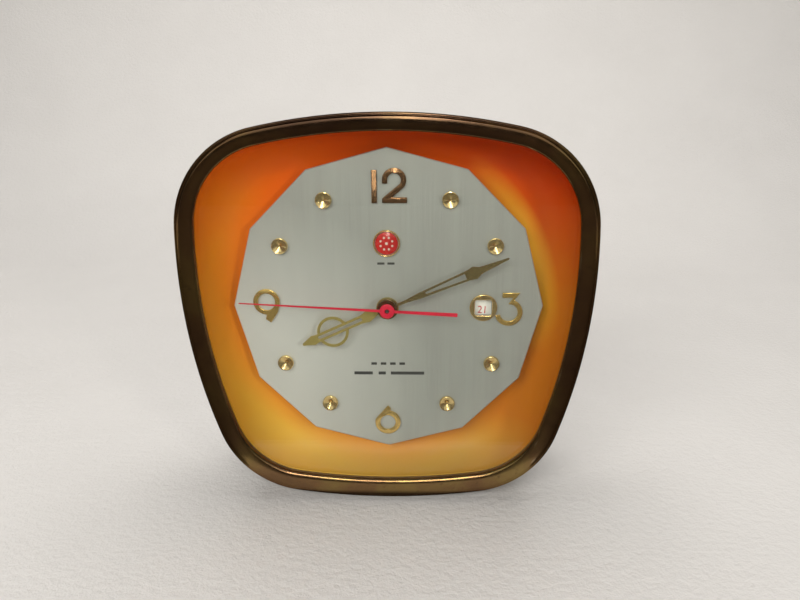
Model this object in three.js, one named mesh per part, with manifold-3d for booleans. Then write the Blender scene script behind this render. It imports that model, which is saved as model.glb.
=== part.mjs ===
// Wind-up calendar desk clock: rounded gilt bezel, glossy amber surround, raised twelve-sided dial,
// and the hand-wound movement inside the case. Units are millimetres.
// +X is to the right of someone facing the dial, the dial faces -Y, +Z is up, z = 0 is the table.

import * as THREE from 'three';
import { mergeVertices } from 'three/addons/utils/BufferGeometryUtils.js';
import Module from 'manifold-3d';

const wasm = await Module();
wasm.setup();

const clock = new THREE.Group();
clock.name = 'calendar_desk_clock';

// ---------------------------------------------------------------- driving dimensions

const DIAL_Z = 90.7; // height of the hand axis above the table
const DIAL_Y = -22; // front face of the dial plate
const GAP = 0.3; // clearance between neighbouring pieces
const MID_DEPTH = 3; // middle of the depth from bezel to key, brought to y = 0

// Front outline of the case, measured from the hand axis: four shallow arcs and four corner arcs.
const HALF_WIDTH = 90;
const WIDEST_Z = 23.4;
const TOP_Z = 84.4;
const BOTTOM_Z = -90.1;
const SIDE_R = 258;
const TOP_R = 262;
const BOTTOM_R = 290;
const TOP_CORNER_R = 44;
const BOTTOM_CORNER_R = 43;
const SIDE_STEPS = 3;
const CORNER_STEPS = 7;

// The opening sits a little above the middle of the bezel, so the ring is widest at the bottom.
const LIP_U = 8.6;
const OPENING_LIFT = 1;

const GLASS_Y = [-34.4, -32.4];
const GASKET_Y = [-32.1, -31.1];
const GLASS_EDGE_U = 4.5;
const TRAY_FLANGE_Y = -30.8;
const TRAY_WALL_U = 7.9;
const TRAY_T = 0.8;
const FLOOR_DEPTH = 5.4; // floor of the surround below the dial face, on the hand axis
const FLOOR_DOME_R = 950; // the floor falls away from the dial as a very shallow dome

const DIAL_R = 70; // corner radius of the twelve-sided plate
const DIAL_T = 1;
const HOUR_R = 55;
const STUD_R = 3.6;
const DATE_X = 43.1;
const DATE_Z = -0.6;
const BADGE_Z = 28.7;

// Hand angles at rest, degrees clockwise from twelve, and how far each hand stands off the dial.
const HOUR_ANGLE = 245.6;
const MINUTE_ANGLE = 66.6;
const SECOND_ANGLE = 273.1;
const HOUR_OFF = 4;
const MINUTE_OFF = 5.5;
const SECOND_OFF = 9.1;

const SHELL_U = 1.3;
const SHELL_T = 0.8;
const SHELL_FRONT = -29;
const BACK_Y = 21.5;
const BACK_OPENING_R = 46.5;
const COVER_R = 53;
const COVER_SCREW_R = 50;
const COVER_Y = 26.4;

const PLATE_R = 42;
const FRONT_PLATE_Y = [-12.5, -11];
const BACK_PLATE_Y = [14, 15.5];
const PIVOT_R = 0.6;

// Arbor positions between the plates, [x, z] from the hand axis.
const CENTRE = [0, 0];
const BARREL = [-19, 13];
const THIRD = [13.5, 6.8];
const ESCAPE = [-4.4, -13.9];
const PALLET = [4, -22];
const BALANCE = [14, -30];
const MOTION = [12.25, -12.25];
const DATE = [24.5, -4.3];
const CLICK = [-27.5, 23];
const PILLARS = [[-6, 37.5], [-33, -19], [33, -18]];
const DIAL_FEET = [[-50, 29], [50, 29]];

// ---------------------------------------------------------------- materials

function material(color, roughness, metalness) {
  return () => new THREE.MeshStandardMaterial({ color, roughness, metalness });
}

const gilt = material(0x6a4e33, 0.25, 1);
const brightGilt = material(0xb8923f, 0.3, 1);
const satin = material(0xa6a89a, 0.5, 0.6);
const amber = material(0xc4621a, 0.15, 0.3);
const enamelBrown = material(0x2e2119, 0.45, 0.1);
const brass = material(0xb59a55, 0.35, 1);
const steel = material(0x8d8f92, 0.35, 1);
const rubber = material(0x1c1b1a, 0.8, 0);
const crimson = material(0xb5203a, 0.35, 0);
const ivory = material(0xe8e4da, 0.6, 0);
const knobPlastic = material(0x201d1b, 0.4, 0);

// ---------------------------------------------------------------- solid helpers

// Merges coincident corners and drops collapsed triangles, so every solid is one closed skin.
function weld(geometry) {
  const bare = geometry.index ? geometry.toNonIndexed() : geometry.clone();
  bare.deleteAttribute('normal');
  bare.deleteAttribute('uv');
  const merged = mergeVertices(bare, 1e-4);
  const kept = [];
  const index = merged.index.array;
  for (let i = 0; i < index.length; i += 3) {
    const [a, b, c] = [index[i], index[i + 1], index[i + 2]];
    if (a !== b && b !== c && c !== a) kept.push(a, b, c);
  }
  merged.setIndex(kept);
  return merged;
}

function toManifold(geometry) {
  const welded = weld(geometry);
  return new wasm.Manifold(new wasm.Mesh({
    numProp: 3,
    vertProperties: new Float32Array(welded.attributes.position.array),
    triVerts: new Uint32Array(welded.index.array),
  }));
}

function fromManifold(solid) {
  const mesh = solid.getMesh();
  const geometry = new THREE.BufferGeometry();
  geometry.setAttribute('position', new THREE.BufferAttribute(new Float32Array(mesh.vertProperties), 3));
  geometry.setIndex(new THREE.BufferAttribute(new Uint32Array(mesh.triVerts), 1));
  return geometry;
}

function union(...geometries) {
  const whole = geometries.map(toManifold).reduce((sum, next) => sum.add(next));
  return fromManifold(whole);
}

function cut(geometry, ...tools) {
  const rest = tools.map(toManifold).reduce((left, tool) => left.subtract(tool), toManifold(geometry));
  return fromManifold(rest);
}

function signedVolume(geometry) {
  const p = geometry.attributes.position;
  const index = geometry.index.array;
  const [a, b, c] = [new THREE.Vector3(), new THREE.Vector3(), new THREE.Vector3()];
  let sum = 0;
  for (let i = 0; i < index.length; i += 3) {
    a.fromBufferAttribute(p, index[i]);
    b.fromBufferAttribute(p, index[i + 1]);
    c.fromBufferAttribute(p, index[i + 2]);
    sum += a.dot(b.cross(c));
  }
  return sum / 6;
}

// A ring-shaped solid: the loops are successive stations round its section, and each loop goes once
// round the clock with the same number of points.
function loft(loops) {
  const count = loops[0].length;
  const positions = loops.flat().flatMap((v) => [v.x, v.y, v.z]);
  const index = [];
  for (let s = 0; s < loops.length; s += 1) {
    const next = (s + 1) % loops.length;
    for (let i = 0; i < count; i += 1) {
      const j = (i + 1) % count;
      const [a, b] = [s * count + i, s * count + j];
      const [c, d] = [next * count + i, next * count + j];
      index.push(a, b, d, a, d, c);
    }
  }
  const geometry = new THREE.BufferGeometry();
  geometry.setAttribute('position', new THREE.BufferAttribute(new Float32Array(positions), 3));
  geometry.setIndex(index);
  if (signedVolume(geometry) < 0) {
    geometry.setIndex(index.map((v, i) => index[i - (i % 3) + [0, 2, 1][i % 3]]));
  }
  return geometry;
}

// A plate parallel to the dial: shape drawn in x and z from the hand axis, between two depths.
function plate(shape, front, back, steps = 4) {
  const geometry = new THREE.ExtrudeGeometry(shape, {
    depth: back - front,
    bevelEnabled: false,
    curveSegments: steps,
  });
  geometry.rotateX(Math.PI / 2);
  geometry.translate(0, back, DIAL_Z);
  return geometry;
}

// A turned piece whose axis runs front to back through `at`. Profile points are [radius, y].
function turned(profile, at = CENTRE, steps = 24) {
  const points = profile.map(([r, y]) => new THREE.Vector2(r, y));
  const ends = [profile[0], profile[profile.length - 1]];
  if (ends.some(([r]) => r > 0)) points.push(points[0].clone());
  const geometry = weld(new THREE.LatheGeometry(points, steps));
  geometry.translate(at[0], 0, DIAL_Z + at[1]);
  if (signedVolume(geometry) < 0) {
    const index = Array.from(geometry.index.array);
    geometry.setIndex(index.map((v, i) => index[i - (i % 3) + [0, 2, 1][i % 3]]));
  }
  return geometry;
}

function rod(radius, front, back, at, steps = 16) {
  return turned([[0, front], [radius, front], [radius, back], [0, back]], at, steps);
}

function tube(inner, outer, front, back, at = CENTRE, steps = 24) {
  return turned([[inner, front], [outer, front], [outer, back], [inner, back]], at, steps);
}

function add(name, geometry, makeMaterial) {
  const mesh = new THREE.Mesh(weld(geometry).translate(0, -MID_DEPTH, 0), makeMaterial());
  mesh.name = name;
  clock.add(mesh);
}

// ---------------------------------------------------------------- outline of the case

const polar = (centre, radius, angle) => ({
  x: centre.x + radius * Math.cos(angle),
  z: centre.z + radius * Math.sin(angle),
});

// Centre of a corner arc that touches a side arc and the top or bottom arc from the inside.
function cornerCentre(side, cap, sideR, capR, cornerR, up) {
  const [ra, rb] = [sideR - cornerR, capR - cornerR];
  const dx = cap.x - side.x;
  const dz = cap.z - side.z;
  const d = Math.hypot(dx, dz);
  const along = (ra * ra - rb * rb + d * d) / (2 * d);
  const across = Math.sqrt(ra * ra - along * along);
  const turn = up ? 1 : -1;
  return {
    x: side.x + (along * dx - turn * across * dz) / d,
    z: side.z + (along * dz + turn * across * dx) / d,
  };
}

const sideCentre = { x: HALF_WIDTH - SIDE_R, z: WIDEST_Z };
const topCentre = { x: 0, z: TOP_Z - TOP_R };
const bottomCentre = { x: 0, z: BOTTOM_Z + BOTTOM_R };
const topCorner = cornerCentre(sideCentre, topCentre, SIDE_R, TOP_R, TOP_CORNER_R, true);
const bottomCorner = cornerCentre(sideCentre, bottomCentre, SIDE_R, BOTTOM_R, BOTTOM_CORNER_R, false);
const bearing = (from, to) => Math.atan2(to.z - from.z, to.x - from.x);

// The right half of the outline from bottom centre to top centre: centre, radius, start, end, steps.
const rightHalf = [
  [bottomCentre, BOTTOM_R, -Math.PI / 2, bearing(bottomCentre, bottomCorner), SIDE_STEPS],
  [bottomCorner, BOTTOM_CORNER_R, bearing(bottomCentre, bottomCorner), bearing(sideCentre, bottomCorner),
    CORNER_STEPS],
  [sideCentre, SIDE_R, bearing(sideCentre, bottomCorner), bearing(sideCentre, topCorner), 2 * SIDE_STEPS],
  [topCorner, TOP_CORNER_R, bearing(sideCentre, topCorner), bearing(topCentre, topCorner), CORNER_STEPS],
  [topCentre, TOP_R, bearing(topCentre, topCorner), Math.PI / 2, SIDE_STEPS],
];

// The outline moved inwards by u, as points round the clock. The lift grows up to the opening.
function outline(u) {
  const lift = OPENING_LIFT * Math.min(u / LIP_U, 1);
  const right = [];
  for (const [centre, radius, start, end, steps] of rightHalf) {
    for (let i = 0; i < steps; i += 1) {
      const p = polar(centre, radius - u, start + ((end - start) * i) / steps);
      right.push({ x: p.x, z: p.z + lift });
    }
  }
  right.push({ x: 0, z: TOP_Z - u + lift });
  const left = right.slice(1, -1).reverse().map(({ x, z }) => ({ x: -x, z }));
  return [...right, ...left];
}

const ring = (u, y) => outline(u).map(({ x, z }) => new THREE.Vector3(x, y, DIAL_Z + z));

// A circle with one point abreast of each outline point, for lofting outline to circle.
function matchedCircle(radius, y) {
  return outline(LIP_U).map(({ x, z }) => {
    const angle = Math.atan2(z, x);
    return new THREE.Vector3(radius * Math.cos(angle), y, DIAL_Z + radius * Math.sin(angle));
  });
}

const outlineShape = (u) => new THREE.Shape(outline(u).map(({ x, z }) => new THREE.Vector2(x, z)));

// ---------------------------------------------------------------- shapes drawn in the dial plane

const onCircle = (radius, angle) => [radius * Math.cos(angle), radius * Math.sin(angle)];
const clockwise = (degrees) => Math.PI / 2 - THREE.MathUtils.degToRad(degrees);

function circlePath(radius, x = 0, z = 0) {
  return new THREE.Path().absarc(x, z, radius, 0, 2 * Math.PI, true);
}

function disc(radius, x = 0, z = 0) {
  const shape = new THREE.Shape();
  shape.absarc(x, z, radius, 0, 2 * Math.PI, false);
  return shape;
}

// A round outline with a chosen number of sides.
function round(radius, sides) {
  return polygon(Array.from({ length: sides }, (unused, i) => onCircle(radius, (2 * Math.PI * i) / sides)));
}

function withHoles(shape, ...holes) {
  shape.holes.push(...holes);
  return shape;
}

function polygon(points) {
  return new THREE.Shape(points.map(([x, z]) => new THREE.Vector2(x, z)));
}

// A bent stroke of constant width: part of a ring round (x, z) from one angle to another.
function arcStroke(x, z, outer, inner, start, end) {
  const shape = new THREE.Shape();
  shape.absarc(x, z, outer, start, end, false);
  shape.absarc(x, z, inner, end, start, true);
  shape.closePath();
  return shape;
}

// A closed path whose points are given from a centre.
function pathAt(points, centre = CENTRE) {
  return new THREE.Path(points.map(([x, z]) => new THREE.Vector2(centre[0] + x, centre[1] + z)));
}

// A toothed wheel with a bore. Teeth are short and pointed, and run with clearance at their tips.
function wheelShape(tip, depth, teeth, bore, centre, crossings = 0) {
  const points = [];
  for (let i = 0; i < teeth; i += 1) {
    const pitch = (2 * Math.PI) / teeth;
    for (const [r, share] of [[tip, 0], [tip - depth, 0.5]]) {
      const angle = (i + share) * pitch;
      points.push([centre[0] + r * Math.cos(angle), centre[1] + r * Math.sin(angle)]);
    }
  }
  const shape = polygon(points);
  if (bore > 0) shape.holes.push(circlePath(bore, centre[0], centre[1]));
  for (let i = 0; i < crossings; i += 1) {
    const span = (2 * Math.PI) / crossings;
    const [outer, inner] = [tip - depth - 1.6, 0.32 * tip];
    const [start, end] = [i * span + 0.22, (i + 1) * span - 0.22];
    const far = [0, 1, 2, 3, 4].map((n) => onCircle(outer, end + ((start - end) * n) / 4));
    const near = [0, 1, 2].map((n) => onCircle(inner, start + 0.25 + ((end - start - 0.5) * n) / 2));
    shape.holes.push(pathAt([...far, ...near], centre));
  }
  return shape;
}

// Moves geometry drawn pointing at twelve so that it points at `degrees` clockwise.
function pointAt(geometry, degrees) {
  geometry.translate(0, 0, -DIAL_Z);
  geometry.rotateY(THREE.MathUtils.degToRad(degrees));
  geometry.translate(0, 0, DIAL_Z);
  return geometry;
}

// ---------------------------------------------------------------- case front

// Pressed metal bezel: flared skirt, rounded shoulder, convex face and thin inner lip.
const bezelSection = [
  [0, -24], [0.4, -33.8], [1.2, -36], [2.4, -36.85], [4.2, -37], [6.6, -36.3],
  [8.3, -35.4], [8.6, -34.9], [8.2, -34.7], [5.2, -35.3], [2.2, -35.3], [1, -33.4], [0.9, -24],
];
add('bezel', loft(bezelSection.map(([u, y]) => ring(u, y))), gilt);

add('glass', plate(outlineShape(GLASS_EDGE_U), GLASS_Y[0], GLASS_Y[1]), material(0xdfe6e4, 0.05, 0));

const gasketShape = outlineShape(GLASS_EDGE_U);
gasketShape.holes.push(pathAt(outline(TRAY_WALL_U - 0.2).map(({ x, z }) => [x, z])));
add('glass_gasket', plate(gasketShape, GASKET_Y[0], GASKET_Y[1]), rubber);

// Amber surround: flange behind the gasket, a side that sweeps inwards in a quarter ellipse, and a floor
// domed very slightly forward.
const floorY = (v, thickness) => {
  const r = Math.hypot(v.x, v.z - DIAL_Z);
  return DIAL_Y + FLOOR_DEPTH + (r * r) / (2 * FLOOR_DOME_R) + thickness;
};
const FLOOR_EDGE_U = 22;
const TRAY_BORE = 5.8;

function floorRing(share, thickness) {
  const rim = ring(FLOOR_EDGE_U, 0);
  const hub = matchedCircle(TRAY_BORE, 0);
  return rim.map((v, i) => {
    const p = v.clone().lerp(hub[i], share);
    p.y = floorY(p, thickness);
    return p;
  });
}

// One loop of the sweep, with share 0 at the flange and 1 at the edge of the floor.
function sweepRing(share, thickness) {
  const turn = (share * Math.PI) / 2;
  const wallU = TRAY_WALL_U - thickness;
  const u = wallU + (FLOOR_EDGE_U - wallU) * (1 - Math.cos(turn));
  const foot = ring(FLOOR_EDGE_U, 0).map((v) => floorY(v, thickness));
  const rise = (y) => (y - TRAY_FLANGE_Y - thickness) * (1 - Math.sin(turn));
  return ring(u, 0).map((v, i) => v.setY(foot[i] - rise(foot[i])));
}

const sweepShares = [0, 0.2, 0.4, 0.6, 0.8];
const floorShares = [0, 0.45, 1];
const traySide = (thickness) => [
  ring(3.2, TRAY_FLANGE_Y + thickness),
  ...sweepShares.map((share) => sweepRing(share, thickness)),
  ...floorShares.map((share) => floorRing(share, thickness)),
];
const traySkins = loft([...traySide(0), ...traySide(TRAY_T).reverse()]);
add('amber_surround', cut(traySkins, rod(1.6, -20, -10, DATE)), amber);

// ---------------------------------------------------------------- dial plate and its furniture

const corners = Array.from({ length: 12 }, (unused, i) => clockwise(30 * i));
const DATE_WINDOW = [7.8, 7.2];

function rectanglePath(width, height, x, z) {
  const [w, h] = [width / 2, height / 2];
  return pathAt([[-w, -h], [-w, h], [w, h], [w, -h]], [x, z]);
}

const dialShape = withHoles(
  polygon(corners.map((angle) => onCircle(DIAL_R, angle)).reverse()),
  circlePath(3.6),
  rectanglePath(DATE_WINDOW[0] - 0.4, DATE_WINDOW[1] - 0.4, DATE_X, DATE_Z),
);
const dialEdge = 0.5; // width of the bevel that runs round the plate
const bevelLoops = [
  [DIAL_R - dialEdge, DIAL_Y - 1],
  [DIAL_R - dialEdge, DIAL_Y],
  [DIAL_R, DIAL_Y + dialEdge],
  [DIAL_R + 1, DIAL_Y + dialEdge],
  [DIAL_R + 1, DIAL_Y - 1],
].map(([radius, y]) => corners.map((angle) => {
  const [x, z] = onCircle(radius, angle);
  return new THREE.Vector3(x, y, DIAL_Z + z);
}));
add('dial_plate', cut(plate(dialShape, DIAL_Y, DIAL_Y + DIAL_T), loft(bevelLoops)), satin);

// Each stud is a short turned cup with its face dished in to the middle.
const studFoot = DIAL_Y - GAP;
const studProfile = [
  [0, studFoot], [STUD_R, studFoot], [STUD_R, studFoot - 1.2], [STUD_R - 0.3, studFoot - 1.5],
  [0, studFoot - 0.4],
];
for (const hour of [1, 2, 4, 5, 7, 8, 10, 11]) {
  const at = onCircle(HOUR_R, clockwise(30 * hour));
  add(`hour_stud_${String(hour).padStart(2, '0')}`, turned(studProfile, at, 16), brightGilt);
}

// Applied numerals stand just off the dial.
const NUMERAL_Y = [DIAL_Y - GAP - 0.9, DIAL_Y - GAP];
const stroke = (shape) => plate(shape, NUMERAL_Y[0], NUMERAL_Y[1], 9);

add('numeral_12_one', stroke(polygon([[-6.6, 46.4], [-4.2, 46.4], [-4.2, 60.5], [-6.6, 60.5]])), brightGilt);

// Points along an arc of a numeral, from one angle to another in radians.
function arcPoints({ x, z }, radius, start, end, steps = 18) {
  return Array.from({ length: steps + 1 }, (unused, i) => {
    const [dx, dz] = onCircle(radius, start + ((end - start) * i) / steps);
    return [x + dx, z + dz];
  });
}

const two = { x: 3.2, z: 56.2 };
add('numeral_12_two', stroke(polygon([
  [-2, 46.4], [8.8, 46.4], [8.8, 48.9], [2.4, 48.9],
  ...arcPoints(two, 5.25, -0.62, Math.PI),
  [two.x - 5.25, 54.7], [two.x - 2.9, 54.7],
  ...arcPoints(two, 2.9, Math.PI, -0.62),
  [-2, 48.4],
])), brightGilt);

const three = { x: 54.6, z: -2.9 };
add('numeral_03', stroke(polygon([
  ...arcPoints(three, 6.2, -2.9, 1.2),
  [59.4, 6.3], [51.5, 6.3], [51.5, 4], [56.5, 4],
  ...arcPoints(three, 4, 1.65, -2.9),
])), brightGilt);

const six = { x: -0.4, z: -57.4 };
add('numeral_06', stroke(withHoles(
  polygon([...arcPoints(six, 6, 2.86, 7.68), [1, -50.3], [-0.3, -48.8]]),
  circlePath(3.6, six.x, six.z),
)), brightGilt);

const nine = { x: -54.9, z: 1.9 };
add('numeral_09', stroke(withHoles(
  polygon([...arcPoints(nine, 6, -0.374, 4.69), [-55.6, -6.3], [-53.3, -7.9], [-50, -2.9]]),
  circlePath(3.9, nine.x, nine.z),
)), brightGilt);

const frameShape = withHoles(disc(6.2, DATE_X, DATE_Z), rectanglePath(...DATE_WINDOW, DATE_X, DATE_Z));
add('date_window_frame', plate(frameShape, DIAL_Y - 1.5, DIAL_Y - GAP, 11), brightGilt);

const badgeFoot = DIAL_Y - GAP;
add('badge_rim', turned([[5.3, badgeFoot], [6, badgeFoot], [6, badgeFoot - 0.9], [5.6, badgeFoot - 1.3],
  [5.3, badgeFoot - 1.1]], [-0.3, BADGE_Z], 20), brightGilt);
add('badge_disc', turned([[0, badgeFoot], [5, badgeFoot], [5, badgeFoot - 0.6], [3.2, badgeFoot - 0.95],
  [0, badgeFoot - 1.05]], [-0.3, BADGE_Z], 22), crimson);

// ---------------------------------------------------------------- hands

// Minute hand: narrow neck, long slotted blade, diamond boss and tapered point.
const minuteY = [DIAL_Y - MINUTE_OFF - 0.3, DIAL_Y - MINUTE_OFF + 0.3];
const minuteSide = [[0.55, 3.4], [0.75, 10], [1.35, 15.5], [2.3, 38.6], [2.9, 42], [1.6, 44.6], [0.35, 58]];
const mirrored = (side) => [...side, ...side.map(([x, z]) => [-x, z]).reverse()];
const minuteBlade = polygon(mirrored(minuteSide));
minuteBlade.holes.push(pathAt([[0.45, 18.5], [-0.45, 18.5], [-1.35, 37.6], [1.35, 37.6]]));
const minuteHub = turned([
  [2, minuteY[0] + 0.35], [3.4, minuteY[0] + 0.35], [3.6, minuteY[0]], [4.8, minuteY[0]],
  [4.8, minuteY[1]], [2, minuteY[1]],
], CENTRE, 24);
const minuteHand = union(plate(minuteBlade, minuteY[0], minuteY[1]), minuteHub);
add('minute_hand', pointAt(minuteHand, MINUTE_ANGLE), brightGilt);

// Hour hand: slotted bar through an open ring, with a small leaf at each end.
const hourY = [DIAL_Y - HOUR_OFF - 0.3, DIAL_Y - HOUR_OFF + 0.3];
const hourBar = polygon(mirrored([[0.9, 3.5], [2.6, 9.8], [1.9, 13], [1.9, 35.4], [2.3, 37.2], [0.5, 42.4]]));
const hourRing = withHoles(disc(7.2, 0, 27.2), circlePath(5.9, 0, 27.2));
const hourSlot = polygon([[-0.75, 12.6], [0.75, 12.6], [0.75, 34.6], [-0.75, 34.6]]);
const hourBody = union(
  plate(hourBar, hourY[0], hourY[1]),
  plate(hourRing, hourY[0], hourY[1], 12),
  tube(3.1, 5, hourY[0], hourY[1], CENTRE, 20),
);
add('hour_hand', pointAt(cut(hourBody, plate(hourSlot, hourY[0] - 1, hourY[1] + 1)), HOUR_ANGLE), brightGilt);

// Sweep seconds hand: round boss, long thin point and a counterweight tail.
const secondY = [DIAL_Y - SECOND_OFF - 0.2, DIAL_Y - SECOND_OFF + 0.2];
const secondBlade = polygon([[0.65, 0], [0.22, 65.5], [-0.22, 65.5], [-0.65, 0], [-0.85, -31], [0.85, -31]]);
add('seconds_hand', pointAt(cut(
  union(plate(secondBlade, secondY[0], secondY[1]), rod(3.3, secondY[0] - 0.3, secondY[1] + 0.3, CENTRE, 22)),
  rod(0.7 + GAP, secondY[0] - 1, secondY[1] + 1, CENTRE, 16),
), SECOND_ANGLE), crimson);

// ---------------------------------------------------------------- case shell, cover and feet

const shellSection = [
  [SHELL_U, SHELL_FRONT], [SHELL_U, 13], [3.2, 18], [7, 20.8], [13, BACK_Y],
];
const shellLoops = [
  ...shellSection.map(([u, y]) => ring(u, y)),
  matchedCircle(BACK_OPENING_R, BACK_Y),
  matchedCircle(BACK_OPENING_R, BACK_Y - SHELL_T),
  ...[[13.1, 20.7], [7.4, 20.05], [3.9, 17.5], [SHELL_U + SHELL_T, 12.8], [SHELL_U + SHELL_T, SHELL_FRONT]]
    .map(([u, y]) => ring(u, y)),
];
const screwAngles = [90, 270];
const screwSpots = screwAngles.map((degrees) => onCircle(COVER_SCREW_R, clockwise(degrees)));
add('case_shell', cut(loft(shellLoops), ...screwSpots.map((at) => rod(1.5, 18, 24, at, 12))), enamelBrown);

// Pressed back cover with holes for the arbors and an arc slot for the regulator.
const REGULATOR_R = 11;
const coverProfile = [
  [0, COVER_Y], [43, COVER_Y], [44.8, 25.4], [45.4, 21.8], [COVER_R, 21.8], [COVER_R, 22.6],
  [46.2, 22.6], [45.6, 25.9], [43.4, COVER_Y + 0.8], [0, COVER_Y + 0.8],
];
const coverHole = (radius, at) => rod(radius, 24, 30, at, 14);
const slotShape = arcStroke(BALANCE[0], BALANCE[1], REGULATOR_R + 1.3, REGULATOR_R - 1.3, 2.75, 3.53);
add('back_cover', cut(
  turned(coverProfile, CENTRE, 36),
  coverHole(2.4, BARREL),
  coverHole(1.6, MOTION),
  coverHole(1.6, DATE),
  plate(slotShape, 24, 30, 8),
  ...screwSpots.map((at) => rod(1.5, 18, 24, at, 12)),
), enamelBrown);

screwSpots.forEach((at, i) => {
  const head = [[0, 17.5], [1.2, 17.5], [1.2, 22.9], [2.6, 22.9], [2.6, 23.7], [1.8, 24.3], [0, 24.4]];
  const slot = new THREE.BoxGeometry(0.7, 0.9, 8).translate(at[0], 24.4, DIAL_Z + at[1]);
  add(`cover_screw_${i + 1}`, cut(turned(head, at, 12), slot), steel);
});

// Four moulded feet: flat underneath, hollowed on top to the curve of the shell.
const FOOT_X = [30, 44];
const FOOT_SPANS = [['front', -21, -10], ['rear', 3, 12.5]];
const shellBottom = (x) => {
  const radius = BOTTOM_R - SHELL_U - GAP;
  const lift = (OPENING_LIFT * SHELL_U) / LIP_U;
  return bottomCentre.z + lift - Math.sqrt(radius * radius - x * x) - 2 * GAP;
};
for (const [side, sign] of [['left', -1], ['right', 1]]) {
  for (const [end, front, back] of FOOT_SPANS) {
    const tops = [0, 0.5, 1].map((t) => FOOT_X[1] + (FOOT_X[0] - FOOT_X[1]) * t);
    const sole = [[FOOT_X[0] + 1, -DIAL_Z], [FOOT_X[1] - 1, -DIAL_Z]];
    const points = [...sole, ...tops.map((x) => [x, shellBottom(x)])];
    const shape = polygon(points.map(([x, z]) => [sign * x, z]));
    add(`foot_${end}_${side}`, plate(shape, front, back), rubber);
  }
}

// ---------------------------------------------------------------- movement plates

const bore = (radius, at) => circlePath(radius, at[0], at[1]);
const PIVOT_HOLE = PIVOT_R + GAP;
const pivoted = [THIRD, ESCAPE, PALLET, BALANCE].map((at) => bore(PIVOT_HOLE, at));
const pillarHoles = PILLARS.map((at) => bore(1.5, at));

add('front_plate', plate(withHoles(round(PLATE_R, 36), bore(2, CENTRE), bore(1.5, BARREL), bore(1.3, MOTION),
  bore(1.3, DATE), ...pivoted, ...pillarHoles), FRONT_PLATE_Y[0], FRONT_PLATE_Y[1]), brass);
// The back plate carries the stud that the click turns on.
add('back_plate', union(
  plate(withHoles(round(PLATE_R, 36), bore(PIVOT_HOLE, CENTRE), bore(2.1, BARREL), bore(1.3, MOTION),
    bore(1.3, DATE), ...pivoted, ...pillarHoles), BACK_PLATE_Y[0], BACK_PLATE_Y[1]),
  rod(0.6, BACK_PLATE_Y[0] + 0.5, 18, CLICK, 10),
), brass);

PILLARS.forEach((at, i) => {
  const profile = [
    [0, -14], [1.2, -14], [1.2, FRONT_PLATE_Y[1] + GAP], [2.6, FRONT_PLATE_Y[1] + GAP],
    [2.6, BACK_PLATE_Y[0] - GAP], [1.2, BACK_PLATE_Y[0] - GAP], [1.2, 17], [0, 17],
  ];
  add(`pillar_${i + 1}`, turned(profile, at, 12), brass);
});

DIAL_FEET.forEach((at, i) => {
  add(`dial_foot_${i + 1}`, rod(1.5, DIAL_Y + DIAL_T + GAP, -15.4, at, 12), brass);
});

add('centre_bush', turned([
  [3.2, -20.3], [5.5, -20.3], [5.5, -18], [7.5, -18], [7.5, -17], [5.5, -17], [5.5, -15.4], [3.2, -15.4],
], CENTRE, 14), brass);

// ---------------------------------------------------------------- barrel and winding work

const RATCHET_Y = [16.2, 17.4];
const KEY_Y = [29.3, 43];

add('mainspring_barrel', union(
  plate(wheelShape(19.86, 1.4, 56, 2.1, BARREL), 0.2, 1.4),
  turned([[16.2, -9], [17, -9], [17, 0.8], [16.2, 0.8]], BARREL, 30),
), brass);

// A flat strip wound in a spiral about an arbor.
function spiralStrip(at, inner, outer, turns, thickness, front, back, stepsPerTurn) {
  const count = turns * stepsPerTurn;
  const side = (offset) => Array.from({ length: count + 1 }, (unused, i) => {
    const radius = inner + ((outer - inner) * i) / count + offset;
    const angle = (2 * Math.PI * i) / stepsPerTurn;
    return [at[0] + radius * Math.cos(angle), at[1] + radius * Math.sin(angle)];
  });
  return plate(polygon([...side(thickness), ...side(0).reverse()]), front, back);
}
add('mainspring', spiralStrip(BARREL, 3, 15.2, 5, 0.5, -8.4, -0.4, 11), steel);

add('winding_arbor', turned([
  [0, -12.2], [1.2, -12.2], [1.2, -10.7], [1.8, -10.7], [1.8, 32], [0, 32],
], BARREL, 12), steel);
add('ratchet_wheel', plate(wheelShape(9, 1.2, 20, 1.8 + GAP, BARREL), RATCHET_Y[0], RATCHET_Y[1]), steel);
const clickTail = 5.2;
const clickAim = Math.atan2(BARREL[1] + 9 - CLICK[1], BARREL[0] - 3.2 - CLICK[0]);
const clickTip = [CLICK[0] + clickTail * Math.cos(clickAim), CLICK[1] + clickTail * Math.sin(clickAim)];
const clickSide = [-Math.sin(clickAim), Math.cos(clickAim)];
add('click', cut(union(
  rod(1.9, RATCHET_Y[0], RATCHET_Y[1], CLICK, 14),
  plate(polygon([[CLICK[0] - 1.5 * clickSide[0], CLICK[1] - 1.5 * clickSide[1]], clickTip,
    [CLICK[0] + 1.5 * clickSide[0], CLICK[1] + 1.5 * clickSide[1]]]), RATCHET_Y[0], RATCHET_Y[1]),
), rod(0.9, 15, 19, CLICK, 12)), steel);

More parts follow.
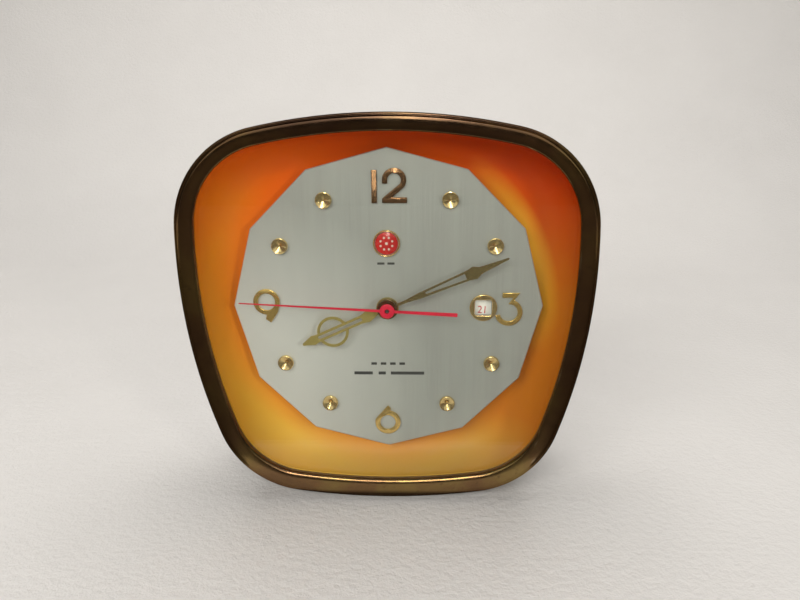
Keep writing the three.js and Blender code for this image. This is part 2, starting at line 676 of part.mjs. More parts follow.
// Winding key: socket on the arbor and a flat double-winged grip.
const WING = { reach: 8, length: 5.6, height: 5.2, thickness: 1.8 };
const gripPieces = [-WING.reach, WING.reach].map((x) => {
  const lobe = new THREE.Shape();
  lobe.absellipse(x, 0, WING.length, WING.height, 0, 2 * Math.PI, false);
  return lobe;
});
gripPieces.push(polygon([[-WING.reach, -2.2], [WING.reach, -2.2], [WING.reach, 2.2], [-WING.reach, 2.2]]));
const grips = gripPieces.map((shape) => {
  const flat = { depth: WING.thickness, bevelEnabled: false, curveSegments: 8 };
  const piece = new THREE.ExtrudeGeometry(shape, flat);
  return piece.translate(BARREL[0], KEY_Y[1] - WING.height, DIAL_Z + BARREL[1] - WING.thickness / 2);
});
add('winding_key', cut(
  union(rod(3.4, KEY_Y[0], KEY_Y[1] - WING.height, BARREL, 16), ...grips),
  rod(1.8 + GAP, 28, 32.4, BARREL, 12),
), brass);

// ---------------------------------------------------------------- going train

function arbor(at, radius, front = FRONT_PLATE_Y[0] + GAP, back = BACK_PLATE_Y[1] - GAP) {
  return turned([
    [0, front], [PIVOT_R, front], [PIVOT_R, FRONT_PLATE_Y[1] + GAP], [radius, FRONT_PLATE_Y[1] + GAP],
    [radius, BACK_PLATE_Y[0] - GAP], [PIVOT_R, BACK_PLATE_Y[0] - GAP], [PIVOT_R, back], [0, back],
  ], at, 12);
}
const pinion = (tip, leaves, front, back, at) => plate(wheelShape(tip, 0.6, leaves, 0, at), front, back);

const MINUTE_PIPE_R = 1.7;
add('centre_wheel', cut(union(
  rod(MINUTE_PIPE_R, minuteY[0] + 0.1, 5.5, CENTRE, 16),
  pinion(2.84, 8, -0.5, 2.5, CENTRE),
  plate(wheelShape(13.16, 1.1, 48, 0, CENTRE, 4), 3.5, 4.5),
  plate(wheelShape(4.25, 0.9, 10, 0, CENTRE), -13.4, -12.8),
), rod(0.7 + GAP, -40, 20, CENTRE, 16)), brass);

add('third_wheel', union(
  arbor(THIRD, 0.9),
  pinion(1.64, 6, 3, 5, THIRD),
  plate(wheelShape(13.06, 1.1, 45, 0, THIRD, 4), 6.5, 7.5),
), brass);

add('seconds_arbor', union(
  turned([[0, secondY[0]], [0.7, secondY[0]], [0.7, BACK_PLATE_Y[0] - GAP], [PIVOT_R, BACK_PLATE_Y[0] - GAP],
    [PIVOT_R, BACK_PLATE_Y[1] - GAP], [0, BACK_PLATE_Y[1] - GAP]], CENTRE, 12),
  pinion(1.74, 6, 6.2, 7.8, CENTRE),
  plate(wheelShape(12.71, 1, 48, 0, CENTRE, 4), 9.5, 10.5),
), brass);

add('escape_wheel', union(
  arbor(ESCAPE, 0.7),
  pinion(1.59, 6, 9.3, 10.7, ESCAPE),
  plate(wheelShape(8, 2, 15, 0, ESCAPE), 6.5, 7.3),
), brass);

// Anchor-shaped lever: two pallet arms towards the escape wheel and a forked arm to the balance.
const toEscape = Math.atan2(ESCAPE[1] - PALLET[1], ESCAPE[0] - PALLET[0]);
const toBalance = Math.atan2(BALANCE[1] - PALLET[1], BALANCE[0] - PALLET[0]);
const step = (at, reach, aim, aside) => [
  at[0] + reach * Math.cos(aim) - aside * Math.sin(aim),
  at[1] + reach * Math.sin(aim) + aside * Math.cos(aim),
];
const leverOutline = [
  step(PALLET, 1.6, toEscape, 0), step(PALLET, 3.6, toEscape, 4.9), step(PALLET, 4.4, toEscape, 5.6),
  step(PALLET, 3.8, toEscape, 6.2), step(PALLET, -0.6, toEscape, 2.2), step(PALLET, 10, toBalance, -1.7),
  step(PALLET, 8.8, toBalance, 0), step(PALLET, 10, toBalance, 1.7), step(PALLET, -0.6, toEscape, -2.2),
  step(PALLET, 3.8, toEscape, -6.2), step(PALLET, 4.4, toEscape, -5.6), step(PALLET, 3.6, toEscape, -4.9),
];
add('pallet_lever', union(arbor(PALLET, 0.7), plate(polygon(leverOutline), 6.5, 7.3)), steel);

// Balance: two-armed wheel on its staff, with the roller that works in the lever's fork.
const balanceRim = withHoles(disc(9, ...BALANCE), circlePath(7.4, ...BALANCE));
const armCorners = [[-8, -0.8], [8, -0.8], [8, 0.8], [-8, 0.8]];
const balanceArm = polygon(armCorners.map(([x, z]) => [BALANCE[0] + x, BALANCE[1] + z]));
add('balance_wheel', union(
  arbor(BALANCE, 0.9),
  plate(balanceRim, 1.5, 2.7, 10),
  plate(balanceArm, 1.5, 2.7),
  rod(1.9, 6.5, 7.3, BALANCE, 14),
), brass);
add('hairspring', spiralStrip(BALANCE, 1.5, 6.2, 4, 0.25, 3.6, 4.4, 10), steel);

// ---------------------------------------------------------------- motion work

add('hour_wheel', cut(union(
  rod(2.8, hourY[0] + 0.1, -14.3, CENTRE, 20),
  plate(wheelShape(13.6, 1.1, 32, 0, CENTRE), -15, -14.3),
), rod(2, -40, 0, CENTRE, 20)), brass);

add('minute_wheel', union(
  rod(1, -15.3, 32, MOTION, 14),
  plate(wheelShape(12.75, 1.1, 30, 0, MOTION), -13.4, -12.8),
  pinion(3.4, 8, -15.1, -14.1, MOTION),
), brass);

function knob(radius, front, at, ribs) {
  const flutes = Array.from({ length: ribs }, (unused, i) => {
    const [x, z] = onCircle(radius + 0.35, (2 * Math.PI * i) / ribs);
    return rod(0.8, front + 1.2, front + 9, [at[0] + x, at[1] + z], 6);
  });
  const body = turned([[0, front], [radius - 1.6, front], [radius - 1.6, front + 1], [radius, front + 1.4],
    [radius, front + 4.6], [radius - 0.7, front + 5.4], [0, front + 5.4]], at, 20);
  return cut(body, ...flutes, rod(1 + GAP, front - 1, front + 3.6, at, 12));
}
add('hand_setting_knob', knob(6, 28.7, MOTION, 10), knobPlastic);

// ---------------------------------------------------------------- calendar work

add('date_disc', cut(union(
  plate(round(49.5, 48), -19.7, -19.1),
  rod(9, -19.4, -18.5, CENTRE, 16),
  plate(wheelShape(20, 2.2, 31, 0, CENTRE), -18.8, -18.3),
), rod(5.5 + GAP, -22, -16, CENTRE, 16)), ivory);
add('date_setting_arbor', union(
  rod(1, -18.9, 32, DATE, 14),
  pinion(4.5, 8, -18.8, -18.2, DATE),
), brass);
add('date_setting_knob', knob(5, 28.7, DATE, 10), knobPlastic);

// ---------------------------------------------------------------- regulator

// Lever on the balance axis behind the back plate, with a finger that comes out through the slot.
const regulatorY = [18.6, 19.4];
const armShape = polygon([[0, -1.2], [-REGULATOR_R, -0.8], [-REGULATOR_R, 0.8], [0, 1.2]]
  .map(([x, z]) => [BALANCE[0] + x, BALANCE[1] + z]).reverse());
add('regulator_lever', cut(union(
  rod(2.8, regulatorY[0], regulatorY[1], BALANCE, 18),
  plate(armShape, regulatorY[0], regulatorY[1]),
  rod(0.85, regulatorY[0], 29.5, [BALANCE[0] - REGULATOR_R, BALANCE[1]], 12),
), rod(1.5, 17, 21, BALANCE, 14)), brass);

export default clock;
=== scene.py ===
"""Wind-up calendar desk clock: the visible surfaces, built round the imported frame.

Lengths in the tables are millimetres, x and z measured from the hand axis and y from front to back
as in the part's own drawing; `place` turns them into metres in the frame.
"""

import math

import bmesh
import bpy
from mathutils import Matrix, Vector


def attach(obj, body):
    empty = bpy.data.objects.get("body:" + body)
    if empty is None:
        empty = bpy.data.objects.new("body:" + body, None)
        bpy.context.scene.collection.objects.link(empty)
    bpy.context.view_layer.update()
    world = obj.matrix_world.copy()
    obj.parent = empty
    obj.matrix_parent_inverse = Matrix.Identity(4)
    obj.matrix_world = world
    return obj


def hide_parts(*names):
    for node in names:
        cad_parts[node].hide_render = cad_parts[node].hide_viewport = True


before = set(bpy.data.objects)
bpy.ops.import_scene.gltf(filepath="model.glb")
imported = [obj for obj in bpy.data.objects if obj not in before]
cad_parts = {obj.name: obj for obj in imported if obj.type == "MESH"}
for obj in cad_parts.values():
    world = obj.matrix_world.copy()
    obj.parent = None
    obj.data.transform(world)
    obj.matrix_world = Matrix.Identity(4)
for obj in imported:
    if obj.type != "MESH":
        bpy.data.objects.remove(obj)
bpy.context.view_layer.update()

MM = 0.001
DIAL_Z = 90.7  # height of the hand axis
MID_DEPTH = 3  # the drawing's depths are measured from a plane this far behind the frame's y = 0
DIAL_Y = -22  # front face of the dial plate
BARREL, MOTION, DATE_ARBOR, BALANCE = (-19, 13), (12.25, -12.25), (24.5, -4.3), (14, -30)


def place(x, y, z):
    return Vector((x * MM, (y - MID_DEPTH) * MM, (z + DIAL_Z) * MM))


# ---------------------------------------------------------------- camera, stage and light

camera_data = bpy.data.cameras.new("camera")
camera_data.lens = 28.8
camera_data.sensor_width = 36
camera_data.clip_start = 0.01
camera_data.clip_end = 30
camera = bpy.data.objects.new("camera", camera_data)
camera.location = (0.01194, -0.3033, 0.17129)
camera.rotation_euler = (1.297918, 0.004073, 0.021849)
bpy.context.scene.collection.objects.link(camera)
bpy.context.scene.camera = camera


def area_light(name, location, target, size, power, colour=(1, 1, 1)):
    data = bpy.data.lights.new(name, "AREA")
    data.shape = "RECTANGLE"
    data.size, data.size_y = size
    data.energy = power
    data.color = colour
    light = bpy.data.objects.new(name, data)
    light.location = location
    aim = Vector(target) - Vector(location)
    light.rotation_euler = aim.to_track_quat("-Z", "Y").to_euler()
    bpy.context.scene.collection.objects.link(light)
    return light


ceiling = area_light("ceiling_softbox", (0, 0.38, 1.15), (0, 0.25, 0), (1.5, 1.1), 12.5, (1, 0.985, 0.97))
fill = area_light("front_fill", (-0.45, -1.2, 0.70), (0, 0, 0.10), (1.2, 0.6), 17.3, (1, 0.985, 0.96))
side = area_light("side_lamp", (0.62, -0.92, 0.34), (0, -0.03, 0.10), (0.16, 0.16), 3.7, (1, 0.96, 0.90))
glow = area_light("front_glow", (0, -1.0, 1.10), (0, 0, 0.1), (1.8, 0.8), 4.5, (1, 0.98, 0.95))
haze = area_light("low_glow", (0, -1.09, 0.41), (0, 0, 0.41), (1.5, 0.42), 1.1, (1, 0.96, 0.90))
spark = area_light("spark", (0.06, -0.62, 0.80), (0, 0, 0.1), (0.16, 0.10), 1.3, (1, 0.97, 0.92))
strip = area_light("strip", (0.01, -0.85, 0.40), (0.01, 0, 0.40), (0.06, 0.41), 0.8, (1, 0.95, 0.86))
brow = area_light("brow", (0, -0.85, 0.71), (0, 0, 0.30), (0.26, 0.26), 1.1, (1, 0.95, 0.86))
area_light("rear_softbox", (0.5, 1.1, 1.2), (0, 0.02, 0.1), (1.0, 0.8), 4, (1, 0.98, 0.96))
# Polished metal mirrors only the glows and the spark; the fill and the side lamp light the matt surfaces.
ceiling.visible_glossy = fill.visible_glossy = side.visible_glossy = False
for lamp in (glow, haze, spark, strip, brow):
    lamp.visible_diffuse = False

world = bpy.data.worlds.new("studio")
world.use_nodes = True
bpy.context.scene.world = world
sky = world.node_tree.nodes["Background"]
sky.inputs["Color"].default_value = (0.80, 0.78, 0.75, 1)
sky.inputs["Strength"].default_value = 0.07
pale = world.node_tree.nodes.new("ShaderNodeBackground")
pale.inputs["Color"].default_value = (0.70, 0.68, 0.66, 1)
seen = world.node_tree.nodes.new("ShaderNodeLightPath")
choose = world.node_tree.nodes.new("ShaderNodeMixShader")
wire = world.node_tree.links.new
wire(seen.outputs["Is Camera Ray"], choose.inputs[0])
wire(sky.outputs[0], choose.inputs[1])
wire(pale.outputs[0], choose.inputs[2])
wire(choose.outputs[0], world.node_tree.nodes["World Output"].inputs["Surface"])
bpy.context.scene.view_settings.view_transform = "Standard"


# ---------------------------------------------------------------- materials


class Surface:
    """A procedural material being put together round one Principled shader."""

    def __init__(self, name, **values):
        self.material = bpy.data.materials.new(name)
        self.material.use_nodes = True
        self.nodes = self.material.node_tree.nodes
        self.links = self.material.node_tree.links
        self.shader = self.nodes["Principled BSDF"]
        self.position = self.nodes.new("ShaderNodeTexCoord").outputs["Object"]
        for socket, value in values.items():
            self.shader.inputs[socket.replace("_", " ")].default_value = value

    def feed(self, socket, value):
        if hasattr(value, "links"):
            self.links.new(value, socket)
        else:
            socket.default_value = value

    def stretched(self, stretch):
        mapping = self.nodes.new("ShaderNodeMapping")
        mapping.inputs["Scale"].default_value = stretch
        self.links.new(self.position, mapping.inputs["Vector"])
        return mapping.outputs["Vector"]

    def noise(self, scale, stretch=None, detail=4, roughness=0.5, distortion=0):
        """Fractal noise from 0 to 1; scale is features per metre."""
        node = self.nodes.new("ShaderNodeTexNoise")
        self.links.new(self.stretched(stretch) if stretch else self.position, node.inputs["Vector"])
        node.inputs["Scale"].default_value = scale
        node.inputs["Detail"].default_value = detail
        node.inputs["Roughness"].default_value = roughness
        node.inputs["Distortion"].default_value = distortion
        return node.outputs["Fac"]

    def cells(self, scale):
        """Rounded cells, from 0 in the middle of each; scale is cells per metre."""
        node = self.nodes.new("ShaderNodeTexVoronoi")
        self.links.new(self.position, node.inputs["Vector"])
        node.inputs["Scale"].default_value = scale
        return node.outputs["Distance"]

    def ramp(self, factor, stops):
        node = self.nodes.new("ShaderNodeValToRGB")
        elements = node.color_ramp.elements
        while len(elements) < len(stops):
            elements.new(0.5)
        for element, (position, colour) in zip(elements, stops):
            element.position = position
            element.color = (*colour, 1)
        self.links.new(factor, node.inputs["Fac"])
        return node.outputs["Color"]

    def mix(self, factor, first, second, blend="MIX"):
        node = self.nodes.new("ShaderNodeMix")
        node.data_type = "RGBA"
        node.blend_type = blend
        self.feed(node.inputs[0], factor)
        self.feed(node.inputs[6], first if hasattr(first, "links") else (*first, 1))
        self.feed(node.inputs[7], second if hasattr(second, "links") else (*second, 1))
        return node.outputs[2]

    def spread(self, value, low, high, start=0.0, end=1.0):
        """Maps value from low..high to start..end, held at the ends."""
        node = self.nodes.new("ShaderNodeMapRange")
        self.links.new(value, node.inputs["Value"])
        for socket, number in zip(("From Min", "From Max", "To Min", "To Max"), (low, high, start, end)):
            node.inputs[socket].default_value = number
        return node.outputs["Result"]

    def maths(self, operation, first, second=0.0):
        node = self.nodes.new("ShaderNodeMath")
        node.operation = operation
        self.feed(node.inputs[0], first)
        self.feed(node.inputs[1], second)
        return node.outputs[0]

    def axis(self, name):
        node = self.nodes.new("ShaderNodeSeparateXYZ")
        self.links.new(self.position, node.inputs[0])
        return node.outputs[name]

    def radius(self, centre):
        """Distance in metres from a front-to-back axis through centre, given as (x, z)."""
        x = self.maths("SUBTRACT", self.axis("X"), centre[0])
        z = self.maths("SUBTRACT", self.axis("Z"), centre[1])
        square = self.maths("ADD", self.maths("MULTIPLY", x, x), self.maths("MULTIPLY", z, z))
        return self.maths("SQRT", square)

    def edges(self, low=0.51, high=0.58):
        """1 on worn outer edges, 0 on flats."""
        return self.spread(self.nodes.new("ShaderNodeNewGeometry").outputs["Pointiness"], low, high)

    def colour(self, value):
        self.links.new(value, self.shader.inputs["Base Color"])

    def rough(self, value):
        self.links.new(value, self.shader.inputs["Roughness"])

    def bump(self, height, distance, strength=1.0):
        """Distance is in metres. A second call adds to the first."""
        node = self.nodes.new("ShaderNodeBump")
        node.inputs["Strength"].default_value = strength
        node.inputs["Distance"].default_value = distance
        self.links.new(height, node.inputs["Height"])
        normal = self.shader.inputs["Normal"]
        if normal.is_linked:
            self.links.new(normal.links[0].from_socket, node.inputs["Normal"])
        self.links.new(node.outputs["Normal"], normal)


def tarnished_gilt():
    s = Surface("tarnished_gilt", Metallic=1.0, Specular_Tint=(0.24, 0.18, 0.13, 1))
    patches = s.noise(26, detail=5, roughness=0.6, distortion=0.6)
    fine = s.noise(240, detail=4, roughness=0.7)
    bronze = s.ramp(patches, [
        (0.36, (0.19, 0.105, 0.060)), (0.50, (0.25, 0.150, 0.070)), (0.64, (0.31, 0.215, 0.082)),
    ])
    freckled = s.mix(s.spread(fine, 0.60, 0.72, 0, 0.55), bronze, (0.10, 0.065, 0.035))
    worn = s.mix(s.edges(0.55, 0.66), freckled, (0.44, 0.34, 0.21))
    height = s.axis("Z")
    # Painted shade: the gilding darkens towards the top of the bezel.
    top_painted_shade = s.mix(s.spread(height, 0.164, 0.1725, 0, 0.72), worn, (0.085, 0.050, 0.036))
    # Painted shadow: the gilding turns nearly black along the bottom few millimetres, the contact shadow at
    # the floor.
    s.colour(s.mix(s.spread(height, 0.0056, 0.0038, 0, 0.95), top_painted_shade, (0.045, 0.028, 0.016)))
    s.rough(s.spread(s.noise(130, detail=5, roughness=0.65), 0.3, 0.75, 0.12, 0.24))
    s.bump(s.noise(38, detail=2), 0.0012, 0.10)
    s.bump(s.noise(1500, (1, 1, 0.2), detail=3), 0.00004, 0.4)
    return s.material


def gilding(name, tone, dark, rough, metal=0.9, lathe=0.0):
    """Gilt brass; lathe is the strength of the circular turning marks about the piece's own middle."""
    s = Surface(name, Metallic=metal, Anisotropic=lathe)
    if lathe:
        grain = s.nodes.new("ShaderNodeTangent")
        grain.direction_type, grain.axis = "RADIAL", "Y"
        s.links.new(grain.outputs[0], s.shader.inputs["Tangent"])
    age = s.noise(220, detail=3, roughness=0.5)
    s.colour(s.mix(s.spread(age, 0.45, 0.75, 0, 0.5), tone, dark))
    s.rough(s.spread(s.noise(600, detail=2), 0.3, 0.7, *rough))
    s.bump(s.noise(1800, (1, 1, 0.15), detail=1), 0.000005, 0.5)
    return s.material


def brushed_satin():
    s = Surface("brushed_satin", Metallic=0.30)
    streaks = s.noise(1, (2600, 2600, 26), detail=3, roughness=0.6)
    broad = s.noise(1, (150, 150, 6), detail=3, roughness=0.5)
    clouds = s.noise(22, detail=4, roughness=0.55)
    silver = s.ramp(streaks, [
        (0.25, (0.325, 0.334, 0.306)), (0.5, (0.355, 0.362, 0.330)), (0.78, (0.395, 0.404, 0.366)),
    ])
    banded = s.mix(s.spread(broad, 0.35, 0.7, 0, 0.5), silver, (0.405, 0.418, 0.380))
    aged = s.mix(s.spread(clouds, 0.5, 0.8, 0, 0.25), banded, (0.385, 0.376, 0.320))
    # Painted light: the dial pales towards a point low on its left.
    s.colour(s.mix(s.spread(s.radius((-0.060, 0.060)), 0.080, 0.020, 0, 0.9), aged, (0.67, 0.67, 0.62)))
    s.rough(s.spread(streaks, 0.25, 0.75, 0.34, 0.50))
    s.bump(streaks, 0.00003, 0.5)
    s.bump(s.noise(60, (1, 1, 0.5), detail=2), 0.0005, 0.06)
    return s.material


def amber_lacquer():
    s = Surface("amber_lacquer", Specular_IOR_Level=0.12)
    height, across = s.axis("Z"), s.axis("X")
    from_middle = s.radius((0, DIAL_Z * MM))
    clouds = s.noise(30, detail=4, roughness=0.55)
    # Painted shade: the lacquer runs from yellow at the bottom to deep red at the top, a little redder to
    # the right, for the shade the bezel casts over the upper surround.
    tilted = s.maths("ADD", height, s.maths("MULTIPLY", across, 0.26))
    lifted = s.maths("ADD", tilted, s.spread(clouds, 0.3, 0.7, -0.006, 0.006))
    sweep = s.ramp(s.spread(lifted, 0.012, 0.172), [
        (0.0, (0.72, 0.415, 0.050)), (0.22, (0.79, 0.375, 0.032)), (0.5, (0.76, 0.255, 0.012)),
        (0.8, (0.72, 0.120, 0.006)), (1.0, (0.72, 0.055, 0.004)),
    ])
    # Painted shadow of the dial plate: a deeper red close round the dial, except at the right, where the
    # painted crescent of light below falls instead.
    right = s.spread(across, 0.035, 0.062)
    painted_dial_shadow = s.maths("MULTIPLY", s.spread(from_middle, 0.082, 0.068), s.spread(right, 0, 1, 0.6, 0))
    with_dial_shadow = s.mix(painted_dial_shadow, sweep, (0.74, 0.10, 0.006))
    # Painted shade: a deeper, redder orange low in the right-hand corner of the surround.
    low_right = s.maths("MULTIPLY", s.spread(across, 0.022, 0.055), s.spread(height, 0.100, 0.078))
    corner = s.maths("MULTIPLY", low_right, s.spread(height, 0.014, 0.034, 0, 0.75))
    lower_right_shade = s.mix(corner, with_dial_shadow, (0.72, 0.185, 0.010))
    # Painted light: a bright yellow crescent on the surround just right of the dial's rim.
    lit = s.maths("MULTIPLY", s.spread(from_middle, 0.078, 0.071), right)
    painted_light_crescent = s.maths("MULTIPLY", lit, s.spread(height, 0.065, 0.09, 0, 0.75))
    bright = s.mix(painted_light_crescent, lower_right_shade, (0.98, 0.52, 0.036))
    # Painted shade: the whole surround darkens towards the right.
    s.colour(s.mix(s.spread(across, -0.055, 0.035), bright, (0.70, 0.72, 0.80), "MULTIPLY"))
    s.rough(s.spread(s.noise(300, detail=4), 0.3, 0.7, 0.30, 0.36))
    s.bump(s.noise(40, detail=1), 0.0004, 0.03)
    return s.material


def clear_glass():
    """Thin clear glass: see-through, with the mirror share that glass has at each angle from either side."""
    s = Surface("clear_glass")
    s.nodes.remove(s.shader)
    grazing = s.maths("POWER", s.nodes.new("ShaderNodeLayerWeight").outputs["Facing"], 5.0)
    share = s.maths("ADD", s.maths("MULTIPLY", grazing, 0.965), 0.035)
    smears = s.noise(35, (1, 1, 0.6), detail=5, roughness=0.6, distortion=1.2)
    through = s.nodes.new("ShaderNodeBsdfTransparent")
    through.inputs["Color"].default_value = (0.975, 0.985, 0.975, 1)
    mirror = s.nodes.new("ShaderNodeBsdfGlossy")
    mirror.inputs["Color"].default_value = (1, 1, 1, 1)
    s.links.new(s.spread(smears, 0.55, 0.85, 0.0, 0.04), mirror.inputs["Roughness"])
    both = s.nodes.new("ShaderNodeMixShader")
    s.links.new(share, both.inputs[0])
    s.links.new(through.outputs[0], both.inputs[1])
    s.links.new(mirror.outputs[0], both.inputs[2])
    s.links.new(both.outputs[0], s.nodes["Material Output"].inputs["Surface"])
    return s.material


def enamel(name, tone, dark, rough=(0.18, 0.3), coat=1.0):
    s = Surface(name, Coat_Weight=coat, Coat_Roughness=0.12)
    grain = 700
    s.colour(s.mix(s.spread(s.noise(grain / 6, detail=5, roughness=0.6), 0.35, 0.7), tone, dark))
    s.rough(s.spread(s.noise(grain, detail=3), 0.3, 0.7, *rough))
    s.bump(s.noise(grain, detail=2), 0.00006, 0.35)
    return s.material


def case_enamel():
    s = Surface("case_enamel", Coat_Weight=0.35, Coat_Roughness=0.25)
    mottle = s.noise(60, detail=6, roughness=0.65)
    base = s.ramp(mottle, [
        (0.3, (0.020, 0.013, 0.009)), (0.55, (0.036, 0.022, 0.014)), (0.8, (0.060, 0.038, 0.024)),
    ])
    dust = s.spread(s.noise(500, detail=6, roughness=0.75), 0.62, 0.80, 0, 0.4)
    s.colour(s.mix(dust, base, (0.16, 0.13, 0.10)))
    s.rough(s.spread(s.noise(350, detail=4), 0.3, 0.7, 0.32, 0.5))
    s.bump(s.cells(900), 0.00007, 0.5)
    return s.material


def moulded(name, tone, dark, rough=(0.35, 0.55), grain=2200):
    s = Surface(name)
    s.colour(s.mix(s.spread(s.noise(240, detail=6, roughness=0.7), 0.35, 0.75), tone, dark))
    s.rough(s.spread(s.noise(grain / 2, detail=3), 0.3, 0.7, *rough))
    s.bump(s.noise(grain, detail=2), 0.00005, 0.5)
    return s.material


def worked_metal(name, tone, dark):
    s = Surface(name, Metallic=1.0)
    stain = s.noise(160, detail=6, roughness=0.65)
    s.colour(s.mix(s.spread(stain, 0.45, 0.75, 0, 0.8), tone, dark))
    s.rough(s.spread(s.noise(700, detail=4), 0.3, 0.7, 0.22, 0.4))
    s.bump(s.noise(1, (300, 300, 5200), detail=2), 0.00003, 0.4)
    return s.material


def ink(name, tone, dark):
    s = Surface(name)
    s.colour(s.mix(s.noise(5000, detail=3), tone, dark))
    s.rough(s.spread(s.noise(3000, detail=2), 0.3, 0.7, 0.45, 0.65))
    s.bump(s.noise(6000, detail=2), 0.00001, 0.4)
    return s.material


def soft_cloth_floor():
    s = Surface("pale_floor", Roughness=0.95)
    s.colour(s.mix(s.noise(9, detail=5, roughness=0.6), (0.62, 0.60, 0.575), (0.68, 0.66, 0.635)))
    s.bump(s.noise(260, detail=4, roughness=0.7), 0.0016, 0.5)
    return s.material


look = {
    "bezel_gilt": tarnished_gilt(),
    "glass": clear_glass(),
    "gasket_rubber": moulded("gasket_rubber", (0.17, 0.090, 0.028), (0.10, 0.055, 0.020), (0.5, 0.7)),
    "amber_lacquer": amber_lacquer(),
    "dial_satin": brushed_satin(),
    "gilt": gilding("bright_gilt", (0.86, 0.60, 0.20), (0.60, 0.39, 0.12), (0.12, 0.22), metal=0.82),
    "turned_gilt": gilding("turned_gilt", (0.94, 0.72, 0.34), (0.82, 0.58, 0.24), (0.10, 0.16), lathe=0.8),
    "dark_gilt": gilding("dark_gilt", (0.34, 0.25, 0.12), (0.18, 0.12, 0.06), (0.16, 0.26), lathe=0.5),
    "copper_gilt": gilding("copper_gilt", (0.36, 0.20, 0.10), (0.22, 0.12, 0.06), (0.14, 0.22)),
    "aged_gilt": gilding("aged_gilt", (0.41, 0.325, 0.145), (0.29, 0.22, 0.09), (0.16, 0.26), metal=0.82),
    "pale_gilt": gilding("pale_gilt", (0.66, 0.54, 0.18), (0.55, 0.44, 0.14), (0.18, 0.26), metal=0.7),
    "red_enamel": enamel("red_enamel", (0.53, 0.019, 0.014), (0.36, 0.010, 0.009)),
    "white_enamel": enamel("white_enamel", (0.70, 0.58, 0.50), (0.58, 0.44, 0.36)),
    "seconds_red": enamel("seconds_red", (0.62, 0.010, 0.040), (0.50, 0.007, 0.030), (0.35, 0.45), coat=0.0),
    "date_white": moulded("date_white", (0.86, 0.84, 0.78), (0.80, 0.77, 0.70), (0.5, 0.65)),
    "date_ink": ink("date_ink", (0.60, 0.030, 0.035), (0.48, 0.020, 0.025)),
    "dial_ink": ink("dial_ink", (0.030, 0.030, 0.030), (0.055, 0.055, 0.050)),
    "case_enamel": case_enamel(),
    "knob_plastic": moulded("knob_plastic", (0.022, 0.019, 0.017), (0.040, 0.034, 0.030), (0.28, 0.45)),
    "key_brass": worked_metal("key_brass", (0.56, 0.40, 0.16), (0.28, 0.18, 0.07)),
    "foot_rubber": moulded("foot_rubber", (0.026, 0.024, 0.022), (0.045, 0.040, 0.036), (0.7, 0.85), 1500),
    "steel": worked_metal("steel", (0.46, 0.46, 0.47), (0.25, 0.24, 0.24)),
    "brass": worked_metal("brass", (0.62, 0.47, 0.22), (0.36, 0.25, 0.10)),
    "floor": soft_cloth_floor(),
}


# ---------------------------------------------------------------- mesh helpers


def finished(mesh):
    """Welds coincident corners and turns every face outwards."""
    weld = 1e-7
    bm = bmesh.new()
    bm.from_mesh(mesh)
    bmesh.ops.remove_doubles(bm, verts=bm.verts, dist=weld)
    bmesh.ops.dissolve_degenerate(bm, edges=bm.edges, dist=weld)
    bmesh.ops.recalc_face_normals(bm, faces=bm.faces)
    bm.to_mesh(mesh)
    bm.free()
    return mesh


def piece(name, mesh, body, material, replaces=(), crease=32):
    """Puts a finished mesh into the scene as one piece that rides on a body."""
    mesh.name = name
    mesh.materials.clear()
    mesh.materials.append(look[material])
    mesh.shade_smooth()
    mesh.set_sharp_from_angle(angle=math.radians(crease))
    item = bpy.data.objects.new(name, mesh)
    bpy.context.scene.collection.objects.link(item)
    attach(item, body)
    if replaces:
        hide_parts(*replaces)
    return item


def loft(rings, closed=True):
    """Skin over loops of equal length, each a list of (x, y, z) in millimetres.

    closed also joins the last loop to the first.
    """
    count = len(rings[0])
    faces = []
    spans = len(rings) if closed else len(rings) - 1
    for span in range(spans):
        a, b = span * count, (span + 1) % len(rings) * count
        for i in range(count):
            j = (i + 1) % count
            faces.append((a + i, a + j, b + j, b + i))
    mesh = bpy.data.meshes.new("loft")
    mesh.from_pydata([place(*p) for ring in rings for p in ring], [], faces)
    return finished(mesh)


def turned(profile, at=(0, 0), steps=64, flutes=None):
    """A turned piece about a front-to-back axis through at. Profile points are (radius, y)."""
    rings = []
    for radius, y in profile:
        ring = []
        for i in range(steps):
            angle = 2 * math.pi * i / steps
            r = radius - (flutes(radius, y, angle) if flutes else 0)
            ring.append((at[0] + r * math.cos(angle), y, at[1] + r * math.sin(angle)))
        rings.append(ring)
    touches_axis = profile[0][0] == 0 and profile[-1][0] == 0
    return loft(rings, closed=not touches_axis)


def rod(radius, front, back, at, steps=48):
    return turned([(0, front), (radius, front), (radius, back), (0, back)], at, steps)


def rounded(points, radius, steps=5):
    """Rounds the corners of a closed path of 2D points."""
    out = []
    count = len(points)
    for i, corner in enumerate(points):
        corner = Vector(corner)
        before, after = Vector(points[i - 1]), Vector(points[(i + 1) % count])
        a, b = before - corner, after - corner
        reach = min(radius, 0.45 * a.length, 0.45 * b.length)
        start, end = corner + a.normalized() * reach, corner + b.normalized() * reach
        for n in range(steps + 1):
            t = n / steps
            out.append(tuple(start * (1 - t) ** 2 + corner * 2 * t * (1 - t) + end * t ** 2))
    return out


def from_curve(curve):
    drawn = bpy.data.objects.new("drawn", curve)
    bpy.context.scene.collection.objects.link(drawn)
    graph = bpy.context.evaluated_depsgraph_get()
    mesh = bpy.data.meshes.new_from_object(drawn.evaluated_get(graph))
    bpy.data.objects.remove(drawn)
    bpy.data.curves.remove(curve)
    return mesh


